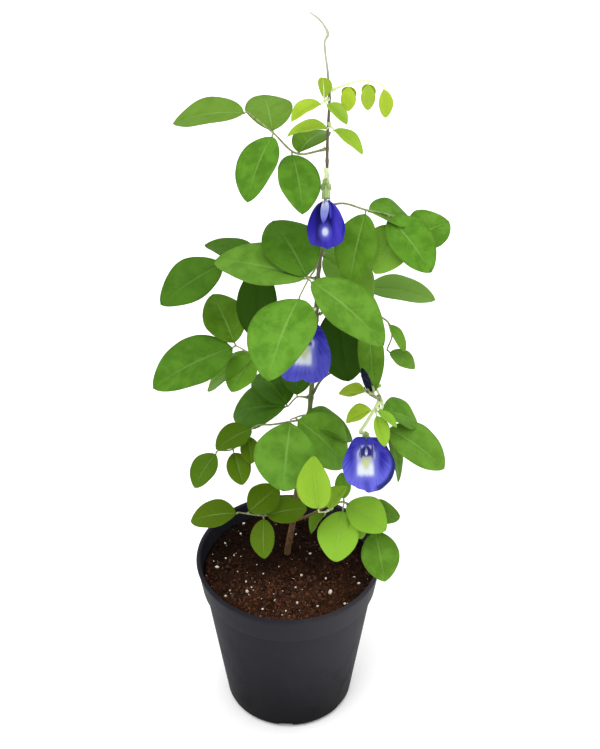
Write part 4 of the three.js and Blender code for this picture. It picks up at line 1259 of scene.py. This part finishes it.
def leaf(name):
    on, stalk, leaflets = LEAVES[name]
    path = stalk_path(on, stalk, STALK_RADIUS)
    looks = LEAF_LOOKS[name]
    rng = random.Random(name)
    plan = Plan()
    look = (looks[0][0], 0, 0.5)
    line = stations(path, STALK_STEPS)
    plan.line(line, swollen(line, STALK_RADIUS, base=0.55, taper=0.35), look=look)
    add_stipules(plan, on, path, look)
    fold = math.radians(YOUNG_FOLD.get(name, MATURE_FOLD))
    for i, (place, heading, pitch, roll, length, width, *own) in enumerate(leaflets):
        own_stalk = own[0] if own else LEAFLET_STALK
        forward, side, up = frame_of(heading, pitch, roll)
        foot = curve_point(path, place)
        luck = (*looks[i], rng.random())
        add_midrib(plan, foot, forward, up, own_stalk, length, luck)
        plan.lone(foot, leaflet=1.0, foot=foot, forward=forward, side=side, up=up, look=luck,
                  size=(length * MM, width * MM, own_stalk * MM), habit=(fold, PHASE_STEP * i, luck[2]))
    young = looks[0][0] > YOUNG_LEAF_AGE
    grown = grow(f"{name}_fine", plan.mesh(name), LEAF_TREE, Stations=BLADE_STATIONS,
                 Lanes=BLADE_LANES, Thickness=BLADE_THICKNESS * MM, Blade=YOUNG_LEAF if young else LEAF,
                 Stalk=STALK)
    dress(grown, "young_leaf" if name in YOUNG_FOLD else "leaf", name)


def add_midrib(plan, foot, forward, up, own_stalk, length, look):
    """A leaflet's own stalk, which goes on as the rib under its blade."""
    points, girths = [foot], [MIDRIB["foot"] * MM]
    for step in (0.3, 0.7):
        points.append(foot + forward * own_stalk * step * MM)
        girths.append((0.62 - 0.1 * step) * MM)
    for step in range(MIDRIB_STEPS):
        share = step / MIDRIB_STEPS
        girth = (MIDRIB["girth"] - MIDRIB["thinning"] * share) * MM * min(1, 0.5 + length / 60)
        rise = 4 * BOW * length * share * (1 - share) * MM - girth - MIDRIB["sunk"] * MM
        points.append(foot + forward * (own_stalk + share * length) * MM + up * rise)
        girths.append(girth)
    plan.line(points, girths, look=look)


def add_stipules(plan, on, path, look):
    """Two small pointed scales where a leaf leaves its stem."""
    tangent = stem_at(*on)[1]
    way = (path[1] - path[0]).normalized()
    across = way.cross(tangent).normalized()
    for hand in (-1, 1):
        aside = across * hand
        tip = path[0] + (tangent * STIPULE["along"] + aside * STIPULE["aside"] + way * STIPULE["out"]) * MM
        foot = path[0] + (aside - way) * STIPULE["sunk"] * MM
        bend = (foot + tip) / 2 + way * STIPULE["bend"] * MM
        plan.line([foot, bend, tip], [girth * MM for girth in STIPULE["girths"]], look=look)


def stems():
    """All stems as one piece, swollen where a leaf or a shoot leaves them."""
    joints = [on for on, *_ in [*LEAVES.values(), *FLOWERS.values()]]
    plan = Plan()
    for name, rows in STEMS.items():
        count = (len(rows) - 1) * STEM_STEPS
        points, girths = [], []
        for i in range(count + 1):
            point, _, radius = stem_at(name, i / STEM_STEPS)
            near = [stem_at(*on)[0] for on in joints if on[0] == name]
            spread = radius * SWELL["spread"]
            swell = sum(math.exp(-(((point - joint).length / spread) ** 2)) for joint in near)
            points.append(point)
            girths.append(radius * (1 + SWELL["rise"] * min(swell, 1)))
        plan.line(points, girths)
    bark = grow("stem_bark", plan.mesh("stems"), STALK_TREE, Sides=STEM_SIDES, Rough=0.5 * MM, Finish=BARK)
    dress(bark, "stem", "stems")


# Flowers

def spindle(skin, points, radii, axis, side, sides, wrinkle, note):
    """A round form along points, its radius varied by wrinkle(share, turn)."""
    across = axis.cross(side).normalized()
    last = len(points) - 1
    rings, notes = [], []
    for i, (point, radius) in enumerate(zip(points, radii)):
        ring, kept = [], []
        for k in range(sides):
            turn = 2 * math.pi * k / sides
            reach = radius * MM * (1 + wrinkle(i / last, turn))
            ring.append(point + (side * math.cos(turn) + across * math.sin(turn)) * reach)
            kept.append(note(i / last, turn))
        rings.append(ring)
        notes.append(kept)
    skin.loft(rings, notes)


def frond(skin, foot, frame, length, width, shape, note):
    """A small thin petal, lobe or bract. shape gives its [half width, rise] at a share and a lane."""
    forward, side, up = frame
    rings, notes = [], []
    lanes = [j / FROND_LANES for j in range(-FROND_LANES, FROND_LANES + 1)]
    for i in range(FROND_STEPS + 1):
        share = i / FROND_STEPS
        upper, lower, kept = [], [], []
        for lane in lanes:
            half, rise = shape(share, lane)
            spot = foot + (forward * share * length + side * half * lane * width / 2 + up * rise) * MM
            thick = FROND_HALF_THICKNESS * MM * (1 - 0.5 * lane * lane)
            upper.append(spot + up * thick)
            lower.append(spot - up * thick)
            kept.append(note(share, lane))
        rings.append(upper + lower[::-1])
        notes.append(kept + kept[::-1])
    skin.loft(rings, notes, strip=True)


def oval(fullness, cup):
    """The outline of a rounded frond that is cupped by so many millimetres."""
    def shape(share, lane):
        return max(math.sin(math.pi * min(share ** fullness, 1)) ** 0.7, 0.04), cup * lane * lane
    return shape


def pointed(cup):
    """The outline of a lobe that is broad below and ends in a point."""
    def shape(share, lane):
        return max((1 - share) ** 0.75 * (0.55 + 1.3 * share), 0.03), cup * (lane * lane - share * share)
    return shape


def banner(skin, throat, frame, length, width, outline, closed, skew):
    """The banner as rays from the throat to its ruffled outline. Its sides meet above the throat."""
    forward, side, up = frame
    points = BANNER_OUTLINES[outline]
    curl = width / (2 * math.pi * closed)
    rings, notes = [], []
    for i in range(BANNER_RINGS + 1):
        ring = BANNER_HEART + (1 - BANNER_HEART) * i / BANNER_RINGS
        upper, lower, kept = [], [], []
        for k in range(BANNER_RAYS + 1):
            turn = 2 * k / BANNER_RAYS - 1
            x, y = outline_point([(0.012, points[0][1]), *points[1:]], 1 - abs(turn))
            across, along = (math.copysign(1, turn) + skew) * x * width / 2 * ring, y * length * ring
            bend = across / curl
            low = max(0, 1 - abs(turn) * 1.6)
            ruffle = RUFFLE["rise"] * ring ** 3 * math.sin(RUFFLE["turn"] * turn)
            ruffle += (0.3 + 0.5 * low) * ring ** 4 * math.sin(RUFFLE["fine_turn"] * turn + 0.8)
            ruffle += 0.12 * ring ** 2 * math.sin(RUFFLE["finest_turn"] * turn)
            frill = 1 + ring ** 6 * sum(rise * math.sin(fast * turn + phase) for rise, fast, phase in FRILL)
            across, along = across * frill, along * frill
            along += skew * LOBE["droop"] * math.sin(math.pi * max(-1, min(1, 3 * turn))) * ring ** 4
            across -= skew * LOBE["shift"] * max(0, 1 - 4 * abs(turn)) * ring ** 3
            funnel = BANNER_FUNNEL * math.sin(math.pi * ring) - 0.9 * ring ** 9
            rise = (1 - math.cos(bend)) * curl + ruffle + funnel
            spot = throat + (forward * along + side * math.sin(bend) * curl + up * rise) * MM
            upper.append(spot + up * PETAL_HALF_THICKNESS * MM)
            lower.append(spot - up * PETAL_HALF_THICKNESS * MM)
            kept.append((across, along, BANNER_PART[outline]))
        rings.append(upper + lower[::-1])
        notes.append(kept + kept[::-1])
    skin.loft(rings, notes, strip=True)


def wings(skin, throat, frame, furled):
    """Two wing petals that stand beside the keel, edge on, or lie over it while the flower is furled."""
    forward, side, up = frame
    wing = FURLED_WING if furled else OPEN_WING
    for hand in (-1, 1):
        outward = turned(forward, side, -wing["splay"])
        if furled:
            outward = turned(outward, up, wing["turn"] * hand)
        across = turned(side * hand, outward, hand * wing["lean"])
        petal = (outward, across, outward.cross(across))
        aside = hand * wing["apart"] + wing.get("shift", 0)
        base = throat + (side * aside + up * WING_RISE - forward * wing["back"]) * MM
        if furled:
            kind, length, width = FURLED_WINGS[hand]
            part = WING_PART[kind]
            frond(skin, base, petal, length, width, oval(0.85, -1.2),
                  lambda share, lane: (lane, share, part))
        else:
            part = WING_PART["open"]
            frond(skin, base, petal, wing["length"], wing["width"], oval(0.8, -0.5),
                  lambda share, lane: (max(lane, 0), share, part))


def keel(skin, throat, frame, furled):
    forward, side, up = frame
    points = []
    for i in range(KEEL_STEPS + 1):
        share = i / KEEL_STEPS
        arch = KEEL["arch"] * (0.35 if furled else 0.5) * math.sin(KEEL["arch_turn"] * share)
        reach = KEEL["length"] * (0.6 * share - KEEL["back"])
        points.append(throat + (up * (KEEL["rise"] + arch) + forward * reach) * MM)
    radii = [shape_at(KEEL_SHAPE, i / KEEL_STEPS) * KEEL["slim"] for i in range(KEEL_STEPS + 1)]
    spindle(skin, points, radii, forward, side, KEEL_SIDES, lambda s, t: KEEL["flat"] * math.cos(2 * t),
            lambda s, t: (s, t, 0))


def ribs(share, turn):
    """How far the ribs of a calyx stand out."""
    return RIB_HEIGHT * share * math.cos(CALYX_RIBS * turn)


def calyx(skin, neck, mouth, axis, side):
    """A ribbed tube with five pointed lobes, and two bracts at its neck."""
    shares = [i / CALYX_STEPS for i in range(CALYX_STEPS + 1)]
    points = [neck.lerp(mouth, share) for share in shares]
    radii = [shape_at(CALYX_SHAPE, share) * CALYX["slim"] for share in shares]
    spindle(skin, points, radii, axis, side, CALYX_SIDES, ribs, lambda s, t: (s * 0.5, t, 0))
    foot = neck.lerp(mouth, CALYX["lobe_foot"])
    for i in range(LOBES):
        spoke = turned(side, axis, 360 / LOBES * i + CALYX["lobe_turn"])
        across = spoke.cross(axis)
        forward = turned(axis, across, -CALYX["lobe_splay"])
        lobe = (forward, across, forward.cross(across))
        base = foot + spoke * (CALYX["lobe_inset"] - CALYX["lobe_sunk"]) * MM
        frond(skin, base, lobe, CALYX["lobe_length"], CALYX["lobe_width"], pointed(0.5),
              lambda share, lane: (0.5 + share / 2, lane * 0.3, 0))
    for hand in (-1, 1):
        outward = turned(axis, side, BRACT["splay"] * hand)
        bract = (outward, side, outward.cross(side))
        base = neck + outward.cross(side) * -hand * BRACT["inset"] * MM - axis * 0.5 * MM
        frond(skin, base, bract, BRACT["length"], BRACT["width"], oval(0.9, 0.6 * hand),
              lambda share, lane: (share, lane * 0.3, 0))


def pedicel(name, path, tip, age):
    """A flower's own stalk, the paler the younger it is."""
    plan = Plan()
    points = [*stations(path, STALK_STEPS), tip]
    plan.line(points, swollen(points, PEDICEL_RADIUS, base=0.35, taper=0.1), look=(age, 0, 0.5))
    grown = grow(name, plan.mesh(name), STALK_TREE, Sides=PEDICEL_SIDES, Rough=0.2 * MM, Finish=STALK)
    dress(grown, "stem")


def flower(name):
    on, stalk, row, outline, lean, closed, skew = FLOWERS[name]
    frame = frame_of(*row[:3])
    forward, side, _ = frame
    path = stalk_path(on, stalk, PEDICEL_RADIUS)
    axis = turned(forward, side, -lean)
    neck = path[-1]
    throat = neck + axis * CALYX["length"] * MM
    mouth = throat - axis * CALYX["set_back"] * MM
    petals, heart, cup = Skin(), Skin(), Skin()
    banner(petals, throat, frame, row[3], row[4], outline, closed, skew)
    wings(petals, throat, frame, outline == "furled")
    keel(heart, throat, frame, outline == "furled")
    calyx(cup, neck, mouth, axis, side)
    for skin, part, slot, finish in (
        (petals, "banner_and_wings", "petal", PETALS),
        (heart, "heart", "keel", KEEL_SKIN),
        (cup, "cup", "calyx", CALYX_SKIN),
    ):
        node = f"{name}_petals" if slot == "petal" else f"{name}_{slot}"
        dress(thing(f"{name}_{part}", skin.mesh(name, slot, finish)), slot, node)
    pedicel(f"{name}_pedicel", path, neck + axis * 1.5 * MM, 0.9)


def bud():
    """The furled bud and its cup."""
    path = stalk_path(BUD["on"], BUD["stalk"], PEDICEL_RADIUS)
    foot = path[-1]
    forward, side, _ = frame_of(BUD["heading"], BUD["pitch"], 0)
    petals, cup = Skin(), Skin()
    shares = [i / BUD_STEPS for i in range(BUD_STEPS + 1)]

    def wrap(share, turn):
        return (turn / (2 * math.pi) + BUD_FOLD["turn"] * share) % 1

    points = [foot + forward * (BUD["sunk"] + share * BUD["length"]) * MM for share in shares]
    radii = [shape_at(BUD_SHAPE, share) for share in shares]
    spindle(petals, points, radii, forward, side, BUD_SIDES,
            lambda s, t: BUD_FOLD["rise"] * wrap(s, t) - BUD_FOLD["sink"],
            lambda s, t: (s, wrap(s, t) * 2 * math.pi, wrap(s, t)))
    cup_points = [foot + forward * share * BUD["calyx"] * BUD_CUP_SHARE * MM for share in shares]
    cup_radii = [shape_at(BUD_CUP_SHAPE, share * BUD_CUP_SHARE) for share in shares]
    spindle(cup, cup_points, cup_radii, forward, side, CALYX_SIDES, ribs, lambda s, t: (s * 0.5, t, 0.5))
    for i in range(LOBES):
        spoke = turned(side, forward, 360 / LOBES * i)
        across = spoke.cross(forward)
        outward = turned(forward, across, -BUD_LOBE["splay"])
        lobe = (outward, across, outward.cross(across))
        base = foot + forward * BUD["calyx"] * BUD_LOBE["foot"] * MM + spoke * BUD_LOBE["inset"] * MM
        frond(cup, base, lobe, BUD_LOBE["length"], BUD_LOBE["width"], pointed(0.4),
              lambda share, lane: (0.5 + share / 2, lane * 0.3, 0.5))
    dress(thing("bud_furled_petals", petals.mesh("bud", "bud", BUD_SKIN)), "petal", "bud_petals")
    dress(thing("bud_cup", cup.mesh("bud_cup", "calyx", CALYX_SKIN)), "calyx", "bud_calyx")
    pedicel("bud_pedicel", path, foot + forward * MM, 0.4)


# Pot and soil

def lathe(skin, profile, sides):
    """A round form from [radius, height] points in millimetres, capped at both ends."""
    turns = [2 * math.pi * k / sides for k in range(sides)]
    rings = [[Vector((r * math.cos(t), r * math.sin(t), z)) * MM for t in turns] for r, z in profile]
    skin.loft(rings, [[(r, z, 0)] * sides for r, z in profile])


def quarter(centre_radius, centre_height, radius, start, end, steps):
    """Points of an arc, from one angle to another in degrees."""
    points = []
    for i in range(steps + 1):
        angle = math.radians(start + (end - start) * i / steps)
        points.append((centre_radius + radius * math.cos(angle), centre_height + radius * math.sin(angle)))
    return points


def pot_profile():
    """The pot's section, from the middle of its underside round the rim to the middle of its floor."""
    lip_foot = POT_HEIGHT - LIP_DEPTH
    edge = RIM_WIDTH / 2
    return [
        (MIDDLE, 0),
        *quarter(BASE_RADIUS - HEEL, HEEL, HEEL, -90, 0, 8),
        (BODY_TOP_RADIUS - 0.25, lip_foot - 2),
        *quarter(BODY_TOP_RADIUS + 0.7, lip_foot - LIP_HOLLOW, LIP_HOLLOW, 180, 90, 3),
        *quarter(LIP_FOOT_RADIUS - LIP_ROUND, lip_foot + LIP_ROUND, LIP_ROUND, -90, 0, 3),
        (RIM_RADIUS - 1.2, POT_HEIGHT - RIM_FOOT),
        *quarter(RIM_RADIUS - edge, POT_HEIGHT - edge, edge, 0, 180, 8),
        (LIP_FOOT_RADIUS - WALL, lip_foot + 2),
        (BODY_TOP_RADIUS - WALL, lip_foot - 1),
        *reversed(quarter(BASE_RADIUS - HEEL, HEEL, HEEL - FLOOR, -90, 0, 5)),
        (MIDDLE, FLOOR),
    ]


def pot():
    body = Skin()
    lathe(body, pot_profile(), POT_SIDES)
    piece = thing("pot_moulded", body.mesh("pot", "turned", PLASTIC))
    cutters = []
    for i in range(DRAIN_HOLES):
        step = 2 * math.pi * i / DRAIN_HOLES
        hole = Skin()
        lathe(hole, [(DRAIN_RADIUS, DRILL["low"]), (DRAIN_RADIUS, DRILL["high"])], DRILL["sides"])
        place = Matrix.Rotation(step, 4, "Z") @ Matrix.Translation((DRAIN_CIRCLE * MM, 0, 0))
        cutters.append((hole, place))
        notch = Skin()
        high, deep, wide = NOTCH["height"], NOTCH["depth"] / 2, NOTCH["width"] / 2
        soft = NOTCH["round"]
        side = [(-wide, -high), (wide, -high), *quarter(wide - soft, high - soft, soft, 0, 90, 4),
                *quarter(soft - wide, high - soft, soft, 90, 180, 4)]
        rings = [[Vector((x, y, z)) * MM for y, z in side] for x in (-deep, deep)]
        notch.loft(rings, [[(0, 0, 0)] * len(side)] * 2)
        turn = step + math.radians(NOTCH["turn"])
        place = Matrix.Rotation(turn, 4, "Z") @ Matrix.Translation((BASE_RADIUS * MM, 0, 0))
        cutters.append((notch, place))
    for i, (skin, place) in enumerate(cutters):
        tool = thing(f"drill_{i}", skin.mesh(f"drill_{i}", "turned", PLASTIC))
        tool.data.transform(place)
        cut = piece.modifiers.new(f"drill_{i}", "BOOLEAN")
        cut.object = tool
        cut.solver = "EXACT"
    settle(piece)
    for tool in [one for one in bpy.data.objects if one.name.startswith("drill_")]:
        bpy.data.objects.remove(tool)
    piece.data.set_sharp_from_angle(angle=math.radians(SHARP_EDGE))
    dress(piece, "pot", "pot")


def soil_body(grains=()):
    """The soil's plain form, and lone points for grains. Its top is finely divided, and marked as open."""
    skin = Skin()
    lip_foot = POT_HEIGHT - LIP_DEPTH
    step = (BODY_TOP_RADIUS - WALL, lip_foot - 1)
    low = (LIP_FOOT_RADIUS - WALL, lip_foot + 2)
    high = (RIM_RADIUS - RIM_WIDTH, POT_HEIGHT - 1)
    edge = low[0] + (SOIL_LEVEL - low[1]) / (high[1] - low[1]) * (high[0] - low[0]) - GAP
    side = [(30, FLOOR + GAP), (BASE_RADIUS - HEEL, FLOOR + GAP), (BASE_RADIUS - FLOOR - GAP, HEEL + GAP),
            *((r - GAP, z) for r, z in (step, low))]
    shares = [i / SOIL_STEPS for i in range(SOIL_STEPS)]
    top = [(edge * (1 - share), SOIL_LEVEL + SOIL_MOUND * share) for share in shares]
    lathe(skin, [*side, *top], SOIL_SIDES)
    for x, y, _ in grains:
        mound = SOIL_MOUND * (1 - math.hypot(x, y) / edge)
        skin.points.append(Vector((x, y, SOIL_LEVEL + mound)) * MM)
        skin.notes.append((0, 0, 0))
    mesh = skin.mesh("soil", "section")
    open_layer = mesh.attributes.new("open", "FLOAT", "POINT")
    least, most = (SOIL_LEVEL - 0.5) * MM, (edge - 0.6) * MM
    on_top = [float(v.co.z > least and v.co.xy.length < most) for v in mesh.vertices]
    open_layer.data.foreach_set("value", on_top)
    grain_layer = mesh.attributes.new("grain", "FLOAT", "POINT")
    plain = len(mesh.vertices) - len(grains)
    grain_layer.data.foreach_set("value", [0.0] * plain + [size * MM for *_, size in grains])
    return mesh


def rough_ground(tree, geometry):
    """The soil's top, raised and sunk in clods. It falls a little towards the wall."""
    spot = tree.place()
    clods = tree.noise(spot, CLODS["fineness"], 4.0, 0.6) - 0.5
    grit = tree.noise(spot, GRIT["fineness"], 3.0, 0.7) - 0.5
    rise = (clods * CLODS["rise"] + grit * GRIT["rise"]) * tree.kept("open", "FLOAT")
    sockets = {"Geometry": geometry, "Offset": tree.combine(0.0, 0.0, rise)}
    return tree.node("GeometryNodeSetPosition", None, sockets)


def ground_group():
    made, tree, given = geometry_tree("ground", {"Finish": "Material"})
    end_tree(tree, rough_ground(tree, given["Geometry"]), [(True, given["Finish"])])
    return made


def scatter_group(name, form, upright, rough=False):
    """Many small forms on the open faces of a mesh. Low and High bound their size along three axes."""
    inputs = {"Density": "Float", "Seed": "Int", "Low": "Vector", "High": "Vector", "Finish": "Material"}
    made, tree, given = geometry_tree(name, inputs)
    base = rough_ground(tree, given["Geometry"]) if rough else given["Geometry"]
    sown = tree.tree.nodes.new("GeometryNodeDistributePointsOnFaces")
    for key, value in {"Mesh": base, "Selection": tree.kept("open", "FLOAT") > 0.5,
                       "Density": given["Density"], "Seed": given["Seed"]}.items():
        tree.tree.links.new(value.socket, sown.inputs[key])
    points = Value(tree, sown.outputs["Points"])
    points = tree.keep(points, "luck", tree.combine(tree.chance(0.0, 1.0, 3), 0.0, 0.0))
    if rough:
        placed = tree.keep(placed_points(tree, base), "luck", tree.combine(0.2, 0.0, 0.0))
        points = tree.node("GeometryNodeJoinGeometry", None, {"Geometry": [points, placed]})
    if upright:
        tilt = tree.chance((-HAIR_LEAN, -HAIR_LEAN, 0.0), (HAIR_LEAN, HAIR_LEAN, AROUND), 5)
        bent = tree.node("FunctionNodeEulerToRotation", None, {"Euler": tilt})
        normal = Value(tree, sown.outputs["Rotation"])
        facing = tree.node("FunctionNodeRotateRotation", {"rotation_space": "LOCAL"},
                           {"Rotation": normal, "Rotate By": bent})
    else:
        tilt = tree.chance((0.0, 0.0, 0.0), (AROUND, AROUND, AROUND), 5)
        facing = tree.node("FunctionNodeEulerToRotation", None, {"Euler": tilt})
    share = tree.chance(0.0, 1.0, 7) ** 2.0
    size = given["Low"] + (given["High"] - given["Low"]) * share
    grain = tree.kept("grain", "FLOAT")
    size = size * (1.0 - (grain > 0.0001)) + tree.combine(grain, grain * 0.85, grain * 0.65)
    sockets = {"Points": points, "Instance": form(tree), "Rotation": facing, "Scale": size}
    strewn = tree.node("GeometryNodeInstanceOnPoints", None, sockets)
    end_tree(tree, strewn, [(True, given["Finish"])])
    return made


def placed_points(tree, base):
    """The lone points of a plan, which carry a size of their own."""
    sockets = {"Geometry": base, "Selection": tree.kept("grain", "FLOAT") > 0.0001}
    return tree.node("GeometryNodeSeparateGeometry", {"domain": "POINT"}, sockets, "Selection")


def dented(tree, form, fineness, depth):
    """A form whose points are pushed about."""
    dents = tree.noise(tree.place(), fineness, 1.0, 0.5, "Color")
    push = tree.reckon("SUBTRACT", dents, (0.5, 0.5, 0.5))
    return tree.node("GeometryNodeSetPosition", None, {"Geometry": form, "Offset": push * depth})


def crumb(tree):
    """An angular lump."""
    ball = tree.node("GeometryNodeMeshIcoSphere", None, {"Radius": 1.0, "Subdivisions": 1}, "Mesh")
    return dented(tree, ball, 1.7, 1.3)


def splinter(tree):
    """A flat chip."""
    box = tree.node("GeometryNodeMeshCube", None, {"Size": (2, 2, 2), "Vertices X": 3}, "Mesh")
    return dented(tree, box, 1.3, 1.0)


def spike(tree):
    """A fine hair, one unit long."""
    sockets = {"Vertices": 3, "Radius Top": 0.05, "Radius Bottom": 1.0, "Depth": 1.0}
    return tree.node("GeometryNodeMeshCone", None, sockets, "Mesh")


def strew(name, mesh, group, kind, finish):
    """A piece of what a scatter tree strews over a mesh."""
    density, seed, low, high = STREWN[kind]
    return grow(name, mesh, group, Density=density, Seed=seed, Low=low, High=high, Finish=finish)


def soil():
    dress(grow("soil_ground", soil_body(), ground_group(), Finish=MIX), "soil", "soil")
    for name, form, grains, finish in (
        ("soil_crumbs", crumb, (), MIX),
        ("soil_chips", splinter, (), CHIPS),
        ("soil_perlite", crumb, LARGE_GRAINS, PERLITE),
    ):
        group = scatter_group(name, form, False, rough=True)
        dress(strew(name, soil_body(grains), group, name, finish), "soil")


def hairs():
    """Short pale hairs on the stems, the calyxes and the bud's cup."""
    coat = scatter_group("hairs", spike, True)
    for name in ("stem_bark", "flower_top_cup", "flower_middle_cup", "flower_open_cup", "bud_cup"):
        base = bpy.data.objects[name].data.copy()
        layer = base.attributes.new("open", "FLOAT", "POINT")
        layer.data.foreach_set("value", [1.0] * len(base.vertices))
        slot = "stem" if name == "stem_bark" else "calyx"
        dress(strew(f"{name}_hairs", base, coat, f"{slot}_hairs", HAIRS), slot)


# Camera, floor and light

def studio():
    """The camera where the photo was taken, a pale floor and soft light."""
    view = bpy.data.cameras.new("camera")
    view.sensor_width = CAMERA_SENSOR
    view.lens = CAMERA_LENS
    camera = thing("camera", view)
    camera.location = CAMERA_SPOT
    camera.rotation_euler = (math.radians(90 - CAMERA_DIP), 0, 0)
    scene = bpy.context.scene
    scene.camera = camera
    ground = bpy.data.meshes.new("floor")
    corners = [(x * FLOOR_REACH, y * FLOOR_REACH, 0) for x, y in ((-1, -1), (1, -1), (1, 1), (-1, 1))]
    ground.from_pydata(corners, [], [(0, 1, 2, 3)])
    ground.materials.append(floor_finish())
    thing("floor", ground)
    for name, light in LIGHTS.items():
        lamp = bpy.data.lights.new(name, "SUN")
        lamp.energy = light["power"]
        lamp.angle = math.radians(light["spread"])
        thing(name, lamp).rotation_euler = Vector(light["from"]).to_track_quat("Z", "Y").to_euler()
    sky = bpy.data.worlds.new("sky")
    sky.use_nodes = True
    backdrop = sky.node_tree.nodes["Background"].inputs
    backdrop["Color"].default_value = (1, 1, 1, 1)
    backdrop["Strength"].default_value = 1.0
    scene.view_settings.view_transform = "Standard"
    scene.world = sky


pot()
soil()
stems()
for leaf_name in LEAVES:
    leaf(leaf_name)
for flower_name in FLOWERS:
    flower(flower_name)
bud()
hairs()
studio()
